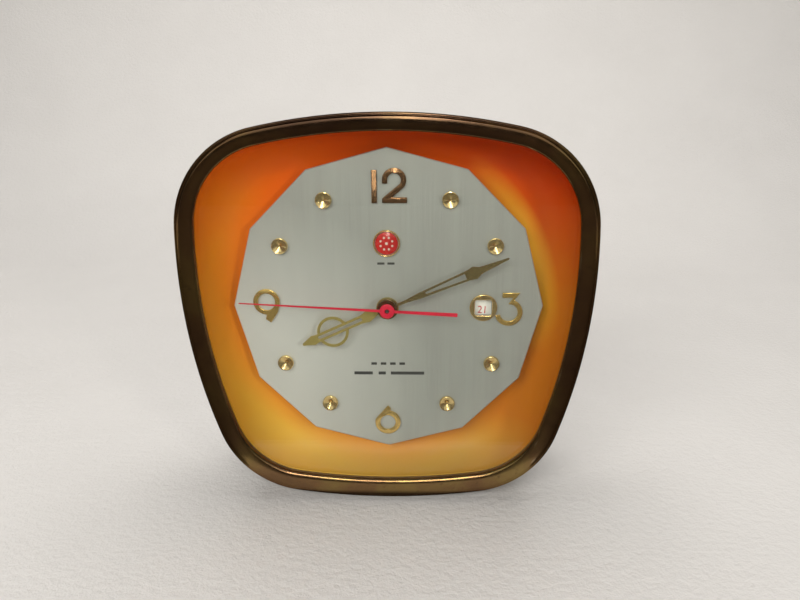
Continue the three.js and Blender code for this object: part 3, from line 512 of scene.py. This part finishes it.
def sheet_of(loops, thickness, bevel, segments):
    """A filled, bevelled plate in the XY plane, centred on z = 0. The first loop is the outside."""
    curve = bpy.data.curves.new("plate", "CURVE")
    curve.dimensions = "2D"
    curve.fill_mode = "BOTH"
    curve.extrude = (thickness / 2 - bevel) * MM
    curve.bevel_depth = bevel * MM
    curve.bevel_resolution = segments - 1
    curve.offset = -bevel * MM
    for loop in loops:
        spline = curve.splines.new("POLY")
        spline.points.add(len(loop) - 1)
        for point, (x, y) in zip(spline.points, loop):
            point.co = (x * MM, y * MM, 0, 1)
        spline.use_cyclic_u = True
    return from_curve(curve)


def plate(loops, front, back, bevel=0.1, segments=1, degrees=0):
    """A plate parallel to the dial between two depths, turned clockwise by degrees."""
    mesh = sheet_of(loops, back - front, bevel, segments)
    lay = Matrix.Rotation(math.pi / 2, 4, "X")
    turn = Matrix.Rotation(math.radians(degrees), 4, "Y")
    mesh.transform(Matrix.Translation(place(0, (front + back) / 2, 0)) @ turn @ lay)
    return finished(mesh)


def joined(*meshes):
    """One mesh holding several closed skins."""
    bm = bmesh.new()
    for mesh in meshes:
        bm.from_mesh(mesh)
        bpy.data.meshes.remove(mesh)
    whole = bpy.data.meshes.new("joined")
    bm.to_mesh(whole)
    bm.free()
    return whole


def cut(first, *others):
    """The first closed mesh with the others taken away from it."""
    base = bpy.data.objects.new("base", first)
    bpy.context.scene.collection.objects.link(base)
    tools = []
    for mesh in others:
        tool = bpy.data.objects.new("tool", mesh)
        bpy.context.scene.collection.objects.link(tool)
        tools.append(tool)
        step = base.modifiers.new("step", "BOOLEAN")
        step.operation = "DIFFERENCE"
        step.solver = "EXACT"
        step.object = tool
    graph = bpy.context.evaluated_depsgraph_get()
    mesh = bpy.data.meshes.new_from_object(base.evaluated_get(graph))
    for item in (base, *tools):
        spent = item.data
        bpy.data.objects.remove(item)
        bpy.data.meshes.remove(spent)
    return finished(mesh)


def on_circle(radius, angle, centre=(0, 0)):
    return centre[0] + radius * math.cos(angle), centre[1] + radius * math.sin(angle)


def arc(centre, radius, start, end, steps):
    return [on_circle(radius, start + (end - start) * i / steps, centre) for i in range(steps + 1)]


def circle(radius, centre=(0, 0), steps=64):
    return [on_circle(radius, 2 * math.pi * i / steps, centre) for i in range(steps)]


def hour_angle(hour):
    return math.pi / 2 - math.radians(30 * hour)


# ---------------------------------------------------------------- outline of the case

HALF_WIDTH, WIDEST_Z, TOP_Z, BOTTOM_Z = 90, 23.4, 84.4, -90.1
SIDE_R, TOP_R, BOTTOM_R, TOP_CORNER_R, BOTTOM_CORNER_R = 258, 262, 290, 44, 43
LIP_U, OPENING_LIFT = 8.6, 1


def corner_centre(side, cap, side_r, cap_r, corner_r, turn):
    ra, rb = side_r - corner_r, cap_r - corner_r
    dx, dz = cap[0] - side[0], cap[1] - side[1]
    d = math.hypot(dx, dz)
    along = (ra * ra - rb * rb + d * d) / (2 * d)
    across = math.sqrt(ra * ra - along * along)
    return (
        side[0] + (along * dx - turn * across * dz) / d,
        side[1] + (along * dz + turn * across * dx) / d,
    )


def bearing(start, end):
    return math.atan2(end[1] - start[1], end[0] - start[0])


side_centre = (HALF_WIDTH - SIDE_R, WIDEST_Z)
top_centre = (0, TOP_Z - TOP_R)
bottom_centre = (0, BOTTOM_Z + BOTTOM_R)
top_corner = corner_centre(side_centre, top_centre, SIDE_R, TOP_R, TOP_CORNER_R, 1)
bottom_corner = corner_centre(side_centre, bottom_centre, SIDE_R, BOTTOM_R, BOTTOM_CORNER_R, -1)
RIGHT_HALF = [
    (bottom_centre, BOTTOM_R, -math.pi / 2, bearing(bottom_centre, bottom_corner), 18),
    (bottom_corner, BOTTOM_CORNER_R,
     bearing(bottom_centre, bottom_corner), bearing(side_centre, bottom_corner), 30),
    (side_centre, SIDE_R, bearing(side_centre, bottom_corner), bearing(side_centre, top_corner), 32),
    (top_corner, TOP_CORNER_R, bearing(side_centre, top_corner), bearing(top_centre, top_corner), 30),
    (top_centre, TOP_R, bearing(top_centre, top_corner), math.pi / 2, 18),
]


def outline(u):
    """The front outline moved inwards by u, once round from the bottom middle."""
    lift = OPENING_LIFT * min(u / LIP_U, 1)
    right = []
    for centre, radius, start, end, steps in RIGHT_HALF:
        right += [(x, z + lift) for x, z in arc(centre, radius - u, start, end, steps)[:-1]]
    right.append((0, TOP_Z - u + lift))
    return right + [(-x, z) for x, z in reversed(right[1:-1])]


def ring(u, y):
    return [(x, y, z) for x, z in outline(u)]


def matched_circle(radius):
    """A circle with one point abreast of each point of the outline."""
    return [on_circle(radius, math.atan2(z, x)) for x, z in outline(LIP_U)]


def smooth_path(points, steps=4):
    """A Catmull-Rom path through 2D points, ends kept."""
    out = []
    ends = [points[0], *points, points[-1]]
    for a, b, c, d in zip(ends, ends[1:], ends[2:], ends[3:]):
        for n in range(steps):
            t = n / steps
            spot = []
            for p, q, r, s in zip(a, b, c, d):
                square, cube = 2 * p - 5 * q + 4 * r - s, 3 * q - p - 3 * r + s
                spot.append(0.5 * (2 * q + (r - p) * t + square * t ** 2 + cube * t ** 3))
            out.append(tuple(spot))
    out.append(points[-1])
    return out


# ---------------------------------------------------------------- case front

BEZEL_FACE = smooth_path([
    (0.0, -24), (0.08, -29), (0.16, -33.6), (0.30, -34.8), (0.62, -35.25), (1.10, -35.32), (1.52, -35.3),
    (1.66, -35.9), (2.05, -36.66), (2.8, -36.95), (3.7, -36.97), (5.2, -36.88), (6.6, -36.72), (7.5, -36.50),
    (8.15, -36.20), (8.50, -35.75), (8.62, -35.25), (8.5, -34.86), (8.15, -34.7),
])
BEZEL_BACK = [(5.2, -35.3), (2.2, -35.3), (1.3, -34.2), (1.0, -33.0), (0.9, -24)]
bezel = loft([ring(u, y) for u, y in BEZEL_FACE + BEZEL_BACK])
piece("bezel_ring", bezel, "case", "bezel_gilt", ["bezel"], crease=50)

GLASS_U, GLASS_Y, GASKET_U, GASKET_Y = 4.5, (-34.4, -32.4), 7.7, (-32.1, -31.1)
glass = plate([outline(GLASS_U)], *GLASS_Y, 0.25)
front_glass = piece("front_glass", glass, "case", "glass", ["glass"])

# The glossy-only lamps shine through the front glass but aren't mirrored by it.
unmirrored = bpy.data.collections.new("unmirrored")
unmirrored.objects.link(front_glass)
unmirrored.collection_objects[0].light_linking.link_state = "EXCLUDE"
for lamp in (glow, haze, spark, strip, brow):
    lamp.light_linking.receiver_collection = unmirrored

gasket_corners = [
    (GLASS_U, GASKET_Y[0]), (GASKET_U, GASKET_Y[0]), (GASKET_U, GASKET_Y[1]), (GLASS_U, GASKET_Y[1]),
]
gasket = loft([ring(u, y) for u, y in rounded(gasket_corners, 0.3, 3)])
piece("gasket_ring", gasket, "case", "gasket_rubber", ["glass_gasket"])

FLOOR_EDGE_U, WALL_U, FLANGE_Y, TRAY_T, TRAY_BORE = 22, 7.9, -30.8, 0.8, 5.8


def floor_y(x, z):
    """The floor of the surround, a very shallow dome 5.4 mm behind the dial face."""
    return DIAL_Y + 5.4 + (x * x + z * z) / 1900


def tray_side(thickness):
    """Loops of one skin of the amber surround, from the flange to the bore."""
    foot = outline(FLOOR_EDGE_U)
    wall_u = WALL_U - thickness
    loops = [ring(3.2, FLANGE_Y + thickness)]
    for n in range(24):
        turn = math.pi / 2 * n / 24
        u = wall_u + (FLOOR_EDGE_U - wall_u) * (1 - math.cos(turn))
        left = math.sin(turn)
        loops.append([(x, FLANGE_Y * (1 - left) + floor_y(*f) * left + thickness, z)
                      for (x, z), f in zip(outline(u), foot)])
    hub = matched_circle(TRAY_BORE)
    for n in range(25):
        share = n / 24
        spots = [(a[0] + (b[0] - a[0]) * share, a[1] + (b[1] - a[1]) * share) for a, b in zip(foot, hub)]
        loops.append([(x, floor_y(x, z) + thickness, z) for x, z in spots])
    return loops


tray = cut(loft(tray_side(0) + tray_side(TRAY_T)[::-1]), rod(1.6, -20, -10, DATE_ARBOR))
piece("amber_tray", tray, "case", "amber_lacquer", ["amber_surround"], crease=50)

# ---------------------------------------------------------------- dial plate and its furniture

DIAL_R = 70
HOUR_R = 55
HUB_R = 3.6
DATE = (43.1, -0.6)


def box_loop(width, height, centre, corner):
    w, h = width / 2, height / 2
    return rounded([(centre[0] + a, centre[1] + b) for a, b in ((-w, -h), (w, -h), (w, h), (-w, h))], corner)


dial_corners = [on_circle(DIAL_R, hour_angle(h)) for h in range(12)]
dial = plate([dial_corners, circle(HUB_R), box_loop(7.4, 6.8, DATE, 0.3)], DIAL_Y, DIAL_Y + 1, 0.42, 1)
piece("dial_sheet", dial, "case", "dial_satin", ["dial_plate"], crease=20)

FOOT_Y = DIAL_Y - 0.3  # back of what is fixed to the dial's face
STUD = [(0, FOOT_Y), (3.6, FOOT_Y), (3.6, FOOT_Y - 1.2), (3.52, FOOT_Y - 1.38), (3.36, FOOT_Y - 1.46),
        (3.2, FOOT_Y - 1.42), (0.42, FOOT_Y - 0.43), (0.3, FOOT_Y - 0.32), (0, FOOT_Y - 0.28)]
for hour in (1, 2, 4, 5, 7, 8, 10, 11):
    stud = turned(STUD, on_circle(HOUR_R, hour_angle(hour)), 72)
    piece(f"gilt_stud_{hour:02}", stud, "case", "turned_gilt", [f"hour_stud_{hour:02}"], crease=25)

NUMERAL_Y = (FOOT_Y - 0.9, FOOT_Y)
TWO, THREE, SIX, NINE = (3.2, 56.2), (54.6, -2.9), (-0.4, -57.4), (-54.9, 1.9)
NUMERALS = {
    "numeral_12_one": [rounded([(-6.6, 46.4), (-4.2, 46.4), (-4.2, 60.5), (-6.6, 60.5)], 0.12, 2)],
    "numeral_12_two": [[(-2, 46.4), (8.8, 46.4), (8.8, 48.9), (2.4, 48.9),
                        *arc(TWO, 5.25, -0.62, math.pi, 40), (-2.05, 54.7),
                        (0.3, 54.7), *arc(TWO, 2.9, math.pi, -0.62, 40), (-2, 48.4)]],
    "numeral_03": [[*arc(THREE, 6.2, -2.9, 1.2, 44), (59.4, 6.3), (51.5, 6.3), (51.5, 4), (56.5, 4),
                    *arc(THREE, 4, 1.65, -2.9, 44)]],
    "numeral_06": [[*arc(SIX, 6, 2.86, 7.68, 58), (1.0, -50.3), (-0.3, -48.8)], circle(3.6, SIX)],
    "numeral_09": [[*arc(NINE, 6, -0.374, 4.69, 56), (-55.6, -6.3), (-53.3, -7.9), (-50, -2.9)],
                   circle(3.9, NINE)],
}
for name, loops in NUMERALS.items():
    numeral = plate(loops, *NUMERAL_Y, 0.28, 2)
    tone = "copper_gilt" if "12" in name else "gilt"
    piece(f"applied_{name}", numeral, "case", tone, [name])

window_frame = plate([circle(6.2, DATE, 96), box_loop(7.8, 7.2, DATE, 1.3)], DIAL_Y - 1.5, FOOT_Y, 0.4, 3)
piece("calendar_frame", window_frame, "case", "turned_gilt", ["date_window_frame"])

BADGE = (-0.3, 28.7)
rim_corners = [(5.3, FOOT_Y), (6, FOOT_Y), (6, FOOT_Y - 0.9), (5.6, FOOT_Y - 1.3), (5.3, FOOT_Y - 1.1)]
badge_rim = turned(rounded(rim_corners, 0.25, 4), BADGE, 72)
piece("badge_ring", badge_rim, "case", "turned_gilt", ["badge_rim"])
enamel_dome = [(0, FOOT_Y), (5, FOOT_Y), (5, FOOT_Y - 0.6), (4.4, FOOT_Y - 0.74), (3.2, FOOT_Y - 0.92),
               (1.6, FOOT_Y - 1.02), (0, FOOT_Y - 1.05)]
piece("badge_enamel", turned(enamel_dome, BADGE, 72), "case", "red_enamel", ["badge_disc"])

# A plain rosette: a dot in the middle and a ring of petals.
petals = []
for n in range(9):
    radius, size, top = (0, 0.8, FOOT_Y - 1.16) if n == 8 else (2.75, 0.62, FOOT_Y - 1.08)
    at = on_circle(radius, math.pi / 4 * n + math.pi / 8, BADGE)
    petals.append(turned([(0, top + 0.3), (size, top + 0.3), (size * 0.75, top + 0.08), (0, top)], at, 20))
piece("badge_rosette", joined(*petals), "case", "white_enamel")

# Print on the dial: plain dashes in place of the two rows of words and the small mark under the badge.
dashes = []


def dash(x, z, width, height):
    dashes.append(plate([box_loop(width, height, (x, z), 0.1)], DIAL_Y - 0.03, DIAL_Y - 0.005, 0.005))


for n in range(4):
    dash(-6.6 + 4.35 * n, -28.0, 2.6, 1.2)
for x, width in ((-11.6, 8.6), (-2.9, 3.4), (8.9, 15.6)):
    dash(x, -32.7, width, 1.5)
for x in (-2.9, 1.6):
    dash(x, 19.5, 3.2, 1.0)
piece("dial_print", joined(*dashes), "case", "dial_ink")

# ---------------------------------------------------------------- calendar

CARD_Y, CARD_R, CARD_BORE, CARD_HUB_R = -19.7, 49.5, 5.8, 9
card_profile = [(CARD_BORE, CARD_Y), (CARD_R, CARD_Y), (CARD_R, CARD_Y + 0.6), (CARD_BORE, CARD_Y + 0.6)]
hub_profile = [(CARD_BORE, CARD_Y + 0.65), (CARD_HUB_R, CARD_Y + 0.65), (CARD_HUB_R, CARD_Y + 1.2),
               (CARD_BORE, CARD_Y + 1.2)]
day_disc = joined(turned(card_profile, steps=180), turned(hub_profile))
piece("date_card", day_disc, "calendar", "date_white", ["date_disc"])

numbers = []
for day in range(1, 32):
    text = bpy.data.curves.new("day", "FONT")
    text.body = str(day)
    text.size = 5.0 * MM
    text.align_x = "CENTER"
    text.align_y = "CENTER"
    text.extrude = 0.01 * MM
    text.resolution_u = 4
    mesh = from_curve(text)
    mesh.transform(Matrix.Diagonal((0.92, 1, 1, 1)))
    turn = math.degrees(math.atan2(DATE[1] - 2.0, DATE[0])) + (day - 21) * 360 / 31
    lay = Matrix.Rotation(math.pi / 2, 4, "X")
    outward = Matrix.Translation((math.hypot(*DATE) * MM, 0, 0))
    spin = Matrix.Rotation(-math.radians(turn), 4, "Y")
    mesh.transform(Matrix.Translation(place(0, CARD_Y - 0.02, 0)) @ spin @ outward @ lay)
    numbers.append(finished(mesh))
piece("date_numbers", joined(*numbers), "calendar", "date_ink")

# ---------------------------------------------------------------- hands

# Degrees clockwise from 12, and the depths of the front and back of each hand.
HOUR_ANGLE, MINUTE_ANGLE, SECOND_ANGLE = 245.6, 66.6, 273.1
HOUR_Y, MINUTE_Y, SECOND_Y = (-26.3, -25.7), (-27.8, -27.2), (-31.3, -30.9)


def ring_round(outer, half_width, steps=60):
    """The part of a circle that a bar pointing up leaves free, from the bar's right side to its left."""
    start = math.pi / 2 - math.asin(half_width / outer)
    return arc((0, 0), outer, start, start - 2 * (math.pi - math.asin(half_width / outer)), steps)


minute_side = [(0.72, 9.5), (1.35, 15.5), (2.3, 38.6), (2.95, 42), (1.6, 44.6), (0.4, 57.6)]
minute_outline = [
    *ring_round(4.8, 0.6)[::-1],
    *minute_side,
    (0, 58),
    *[(-x, z) for x, z in minute_side[::-1]],
]
minute_slot = rounded([(0.45, 18.5), (1.35, 37.6), (-1.35, 37.6), (-0.45, 18.5)], 0.3, 3)
minute = plate([minute_outline, circle(2.0), minute_slot], *MINUTE_Y, 0.14, 1, MINUTE_ANGLE)
piece("minute_blade", minute, "centre_work", "aged_gilt", ["minute_hand"], crease=25)
boss_corners = [(2.0, -27.86), (3.3, -27.86), (3.5, -28.1), (4.5, -28.1), (4.7, -27.86), (4.7, -27.815),
                (2.0, -27.815)]
piece("minute_boss", turned(rounded(boss_corners, 0.1, 3), steps=72), "centre_work", "dark_gilt")


def bar_and_ring():
    """Outer outline and holes of the hour hand: a slotted bar through an open ring, and its boss."""
    middle, outer, inner, half = 27.2, 7.2, 5.9, 1.9
    cut_out, cut_in = math.acos(half / outer), math.acos(half / inner)
    right = [(2.6, 9.8), (half, 13), *arc((0, middle), outer, -cut_out, cut_out, 40), (half, 35.4),
             (2.3, 37.2), (0.5, 42.4)]
    outside = [*ring_round(5, 0.9)[::-1], *right, *[(-x, z) for x, z in right[::-1]]]
    gap = arc((0, middle), inner, -cut_in, cut_in, 36)
    slot = rounded([(-0.75, 12.6), (0.75, 12.6), (0.75, 34.6), (-0.75, 34.6)], 0.5, 3)
    return [outside, circle(3.1), gap, [(-x, z) for x, z in gap[::-1]], slot]


hour_mesh = plate(bar_and_ring(), *HOUR_Y, 0.14, 1, HOUR_ANGLE)
piece("hour_blade", hour_mesh, "hour_work", "pale_gilt", ["hour_hand"], crease=25)

gap_angle = math.atan2(0.62, 3.3)
second_outline = [
    *arc((0, 0), 3.3, -math.pi / 2 + gap_angle, math.pi / 2 - gap_angle, 30),
    (0.24, 65.2), (0, 65.5), (-0.24, 65.2),
    *arc((0, 0), 3.3, math.pi / 2 + gap_angle, 3 * math.pi / 2 - gap_angle, 30),
    (-0.85, -30.7), (-0.7, -31), (0.7, -31), (0.85, -30.7),
]
second = plate([second_outline, circle(1.0, steps=32)], *SECOND_Y, 0.1, 1, SECOND_ANGLE)
piece("seconds_needle", second, "seconds_work", "seconds_red", ["seconds_hand"], crease=25)
collar_corners = [(1.0, -31.58), (2.4, -31.58), (3.2, -31.42), (3.2, -31.31), (1.0, -31.31)]
collar = turned(rounded(collar_corners, 0.12, 4))
piece("seconds_collar", collar, "seconds_work", "seconds_red")

# ---------------------------------------------------------------- case shell, cover and feet

SHELL_U, SHELL_T, SHELL_FRONT, BACK_Y, BACK_OPENING_R = 1.3, 0.8, -29, 21.5, 46.5


def toward_circle(u, radius, y_start, y_end, count):
    """Loops that go from the outline at u to a circle, across the back of the case."""
    start, end = ring(u, 0), matched_circle(radius)
    loops = []
    for n in range(1, count + 1):
        share = n / count
        y = y_start + (y_end - y_start) * share
        loops.append([(x + (to_x - x) * share, y, z + (to_z - z) * share)
                      for (x, _, z), (to_x, to_z) in zip(start, end)])
    return loops


SHELL_OUTSIDE = [(SHELL_U, SHELL_FRONT), (SHELL_U, -10), *smooth_path([
    (SHELL_U, 11.5), (1.75, 14.8), (3.2, 17.8), (5.4, 19.9), (8.6, 21.0), (13, 21.45)])]
SHELL_INSIDE = smooth_path([(13.2, 20.68), (8.9, 20.25), (6.0, 19.2), (4.0, 17.3), (2.6, 14.6),
                            (SHELL_U + SHELL_T, 11.5)]) + [(SHELL_U + SHELL_T, SHELL_FRONT)]
shell = loft([
    *[ring(u, y) for u, y in SHELL_OUTSIDE],
    *toward_circle(13, BACK_OPENING_R, 21.45, BACK_Y, 6),
    *toward_circle(13.2, BACK_OPENING_R, 20.68, BACK_Y - SHELL_T, 6)[::-1],
    *[ring(u, y) for u, y in SHELL_INSIDE],
])
piece("shell_skin", shell, "case", "case_enamel", ["case_shell"], crease=40)

COVER_PROFILE = [
    (0, 26.4), *smooth_path([(43, 26.4), (44.2, 26.1), (44.9, 25.2), (45.4, 21.8)], 3),
    (53, 21.8), (53, 22.6), *smooth_path([(46.4, 22.6), (45.9, 25.4), (45.1, 26.7), (43.4, 27.2)], 3),
    (34, 27.2), (33.4, 26.85), (31.6, 26.85), (31, 27.2), (0, 27.2),
]
SCREW_X = 50
regulator_slot = [*arc(BALANCE, 12.3, 2.75, 3.53, 24), *arc(BALANCE, 9.7, 3.53, 2.75, 24)]
cover = cut(
    turned(COVER_PROFILE, steps=160),
    rod(2.4, 24, 30, BARREL),
    rod(1.6, 24, 30, MOTION),
    rod(1.6, 24, 30, DATE_ARBOR),
    plate([regulator_slot], 24, 30, 0.01),
    rod(1.5, 18, 24, (SCREW_X, 0)),
    rod(1.5, 18, 24, (-SCREW_X, 0)),
)
piece("cover_plate", cover, "case", "case_enamel", ["back_cover"], crease=30)

# Raised ticks along the regulator slot, and a turning arrow by the key.
RELIEF = []
for angle in (2.80, 2.97, 3.14, 3.31, 3.48):
    low, high = angle - 0.012, angle + 0.012
    corners = [on_circle(13.2, low, BALANCE), on_circle(14.6, low, BALANCE),
               on_circle(14.6, high, BALANCE), on_circle(13.2, high, BALANCE)]
    RELIEF.append(rounded(corners, 0.08, 2))
RELIEF.append([*arc(BARREL, 15.4, 2.0, 3.3, 30), *arc(BARREL, 14.2, 3.3, 2.0, 30)])
RELIEF.append([on_circle(12.9, 2.0, BARREL), on_circle(16.7, 2.0, BARREL), on_circle(14.8, 1.78, BARREL)])
raised = joined(*[plate([loop], 27.15, 27.35, 0.03) for loop in RELIEF])
piece("cover_relief", raised, "case", "key_brass")

for n, x in enumerate((SCREW_X, -SCREW_X), 1):
    head = turned([(0, 22.62), (2.6, 22.62), (2.6, 23.6), (2.35, 24.05), (1.8, 24.3), (0, 24.4)], (x, 0), 48)
    cutter = bpy.data.meshes.new("cutter")
    bm = bmesh.new()
    bmesh.ops.create_cube(bm, size=1)
    bm.to_mesh(cutter)
    bm.free()
    aim = Matrix.Rotation(0.5 * n, 4, "Y")
    slot_size = Matrix.Diagonal((0.7 * MM, 0.9 * MM, 8 * MM, 1))
    cutter.transform(Matrix.Translation(place(x, 24.4, 0)) @ aim @ slot_size)
    piece(f"slotted_screw_{n}", cut(head, cutter), "case", "steel", [f"cover_screw_{n}"])

# Each foot is flat below, and its top follows the curve of the shell's underside.
FEET = {"front": (-21, -10), "rear": (3, 12.5)}
reach = BOTTOM_R - SHELL_U - 0.3
shell_centre_z = bottom_centre[1] + OPENING_LIFT * SHELL_U / LIP_U
tops = []
for n in range(7):
    x = 44 - 14 * n / 6
    tops.append((x, shell_centre_z - math.sqrt(reach ** 2 - x * x) - 0.6))
shape = [(31, -DIAL_Z), (43, -DIAL_Z), *tops]
for side, sign in (("left", -1), ("right", 1)):
    for end, (front, back) in FEET.items():
        loop = [(sign * x, z) for x, z in (shape if sign > 0 else shape[::-1])]
        pad = plate([loop], front, back, 0.35, 2)
        piece(f"rubber_foot_{end}_{side}", pad, "case", "foot_rubber", [f"foot_{end}_{side}"])

# ---------------------------------------------------------------- key and knobs

KEY_BACK, WING_REACH, WING_LENGTH, WING_HEIGHT = 43, 8, 5.6, 5.2
key_stem = turned([
    (2.1, 29.3), (3.1, 29.3), (3.4, 29.6), (3.4, 34.6), (3.0, 35.4), (2.4, 36.0), (2.4, 36.8), (0, 36.9),
    (0, 32.4), (2.1, 32.4),
], BARREL)
# The two wings are one level plate: an ellipse on each side, joined across the stem.
right_wing = [(WING_REACH + (x - WING_REACH) * WING_LENGTH / WING_HEIGHT, y)
              for x, y in arc((WING_REACH, 0), WING_HEIGHT, -2.25, 2.25, 40)]
wing_outline = right_wing + [(-x, y) for x, y in right_wing[::-1]]
wing = sheet_of([wing_outline, circle(1.5, (8.6, 0.4), 32), circle(1.5, (-8.6, 0.4), 32)], 1.8, 0.35, 3)
wing.transform(Matrix.Translation(place(BARREL[0], KEY_BACK - WING_HEIGHT, BARREL[1])))
piece("key_wing", joined(key_stem, finished(wing)), "winding", "key_brass", ["winding_key"])


def knob(radius, at, ribs):
    front = 28.7  # 1.5 mm behind the cover

    def flutes(r, y, angle):
        if r < radius - 1 or not front + 1.3 < y < front + 5.0:
            return 0
        return 0.5 * (0.5 + 0.5 * math.cos(ribs * angle)) ** 3

    profile = [
        (1.3, front), (radius - 1.6, front), (radius - 1.6, front + 1), (radius - 0.35, front + 1.05),
        (radius - 0.05, front + 1.25), (radius, front + 1.5), (radius, front + 2.5), (radius, front + 3.6),
        (radius, front + 4.6), (radius - 0.25, front + 5.05), (radius - 0.7, front + 5.3),
        (radius - 1.2, front + 5.4), (radius - 1.7, front + 5.22), (radius - 2.1, front + 5.16),
        (0, front + 5.16), (0, front + 3.6), (1.3, front + 3.6),
    ]
    return turned(profile, at, 20 * ribs, flutes)


piece("hands_knob", knob(6, MOTION, 18), "motion_work", "knob_plastic",
      ["hand_setting_knob"])
piece("date_knob", knob(5, DATE_ARBOR, 15), "date_setting", "knob_plastic",
      ["date_setting_knob"])

# ---------------------------------------------------------------- the movement, kept from the frame

STEEL = {
    "mainspring", "winding_arbor", "ratchet_wheel", "click", "pallet_lever", "hairspring", "seconds_arbor",
}
for name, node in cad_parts.items():
    if not node.hide_render:
        for slot in node.material_slots:
            slot.material = look["steel" if name in STEEL else "brass"]

# ---------------------------------------------------------------- floor and backdrop

# In metres: flat floor, then a quarter circle up into an upright backdrop.
BEND_Y, BEND_R = 0.4, 0.5
sweep = [(y, 0.0) for y in (-4.0, -2.0, -1.0, -0.5, -0.2, 0.0, 0.2, BEND_Y)]
for n in range(1, 17):
    angle = math.pi / 2 * n / 16
    sweep.append((BEND_Y + BEND_R * math.sin(angle), BEND_R - BEND_R * math.cos(angle)))
sweep.append((BEND_Y + BEND_R, 1.2))
floor_mesh = bpy.data.meshes.new("floor")
floor_mesh.from_pydata(
    [(x, y, z) for y, z in sweep for x in (-4, 4)], [],
    [(2 * i, 2 * i + 1, 2 * i + 3, 2 * i + 2) for i in range(len(sweep) - 1)],
)
floor_mesh.materials.append(look["floor"])
floor_mesh.shade_smooth()
floor = bpy.data.objects.new("floor", floor_mesh)
bpy.context.scene.collection.objects.link(floor)

# A black card that only reflections see: it lies over the floor in front of and beside the clock, and stands
# up behind the camera. Over the floor it is painted shade, the darkened floor in front of the clock as
# mirrored by the clock, paler in its middle close in front of the clock; upright behind the camera it stands
# for the dark room.
card_mesh = bpy.data.meshes.new("black_card")
CARD_SIDE = ((0.25, 0.002), (-0.085, 0.002), (-1.1, 0.002), (-1.1, 0.2))
card_mesh.from_pydata(
    [(x, y, z) for y, z in CARD_SIDE for x in (-0.7, -0.075, 0.075, 0.7)], [],
    [(0, 4, 5, 1), (2, 6, 7, 3), (4, 8, 9, 5), (5, 9, 10, 6), (6, 10, 11, 7), (8, 12, 15, 11, 10, 9)],
)
black = Surface("black_card", Roughness=0.9)
dim = black.mix(black.noise(20), (0.036, 0.029, 0.023), (0.056, 0.045, 0.034))
near = black.spread(black.axis("Y"), -0.15, -0.085, 0, 0.5)
middle = black.spread(black.maths("ABSOLUTE", black.axis("X")), 0.09, 0.04)
black.colour(black.mix(black.maths("MULTIPLY", near, middle), dim, (0.66, 0.64, 0.61)))
card_mesh.materials.append(black.material)
card = bpy.data.objects.new("black_card", card_mesh)
card.visible_camera = card.visible_diffuse = card.visible_shadow = False
bpy.context.scene.collection.objects.link(card)
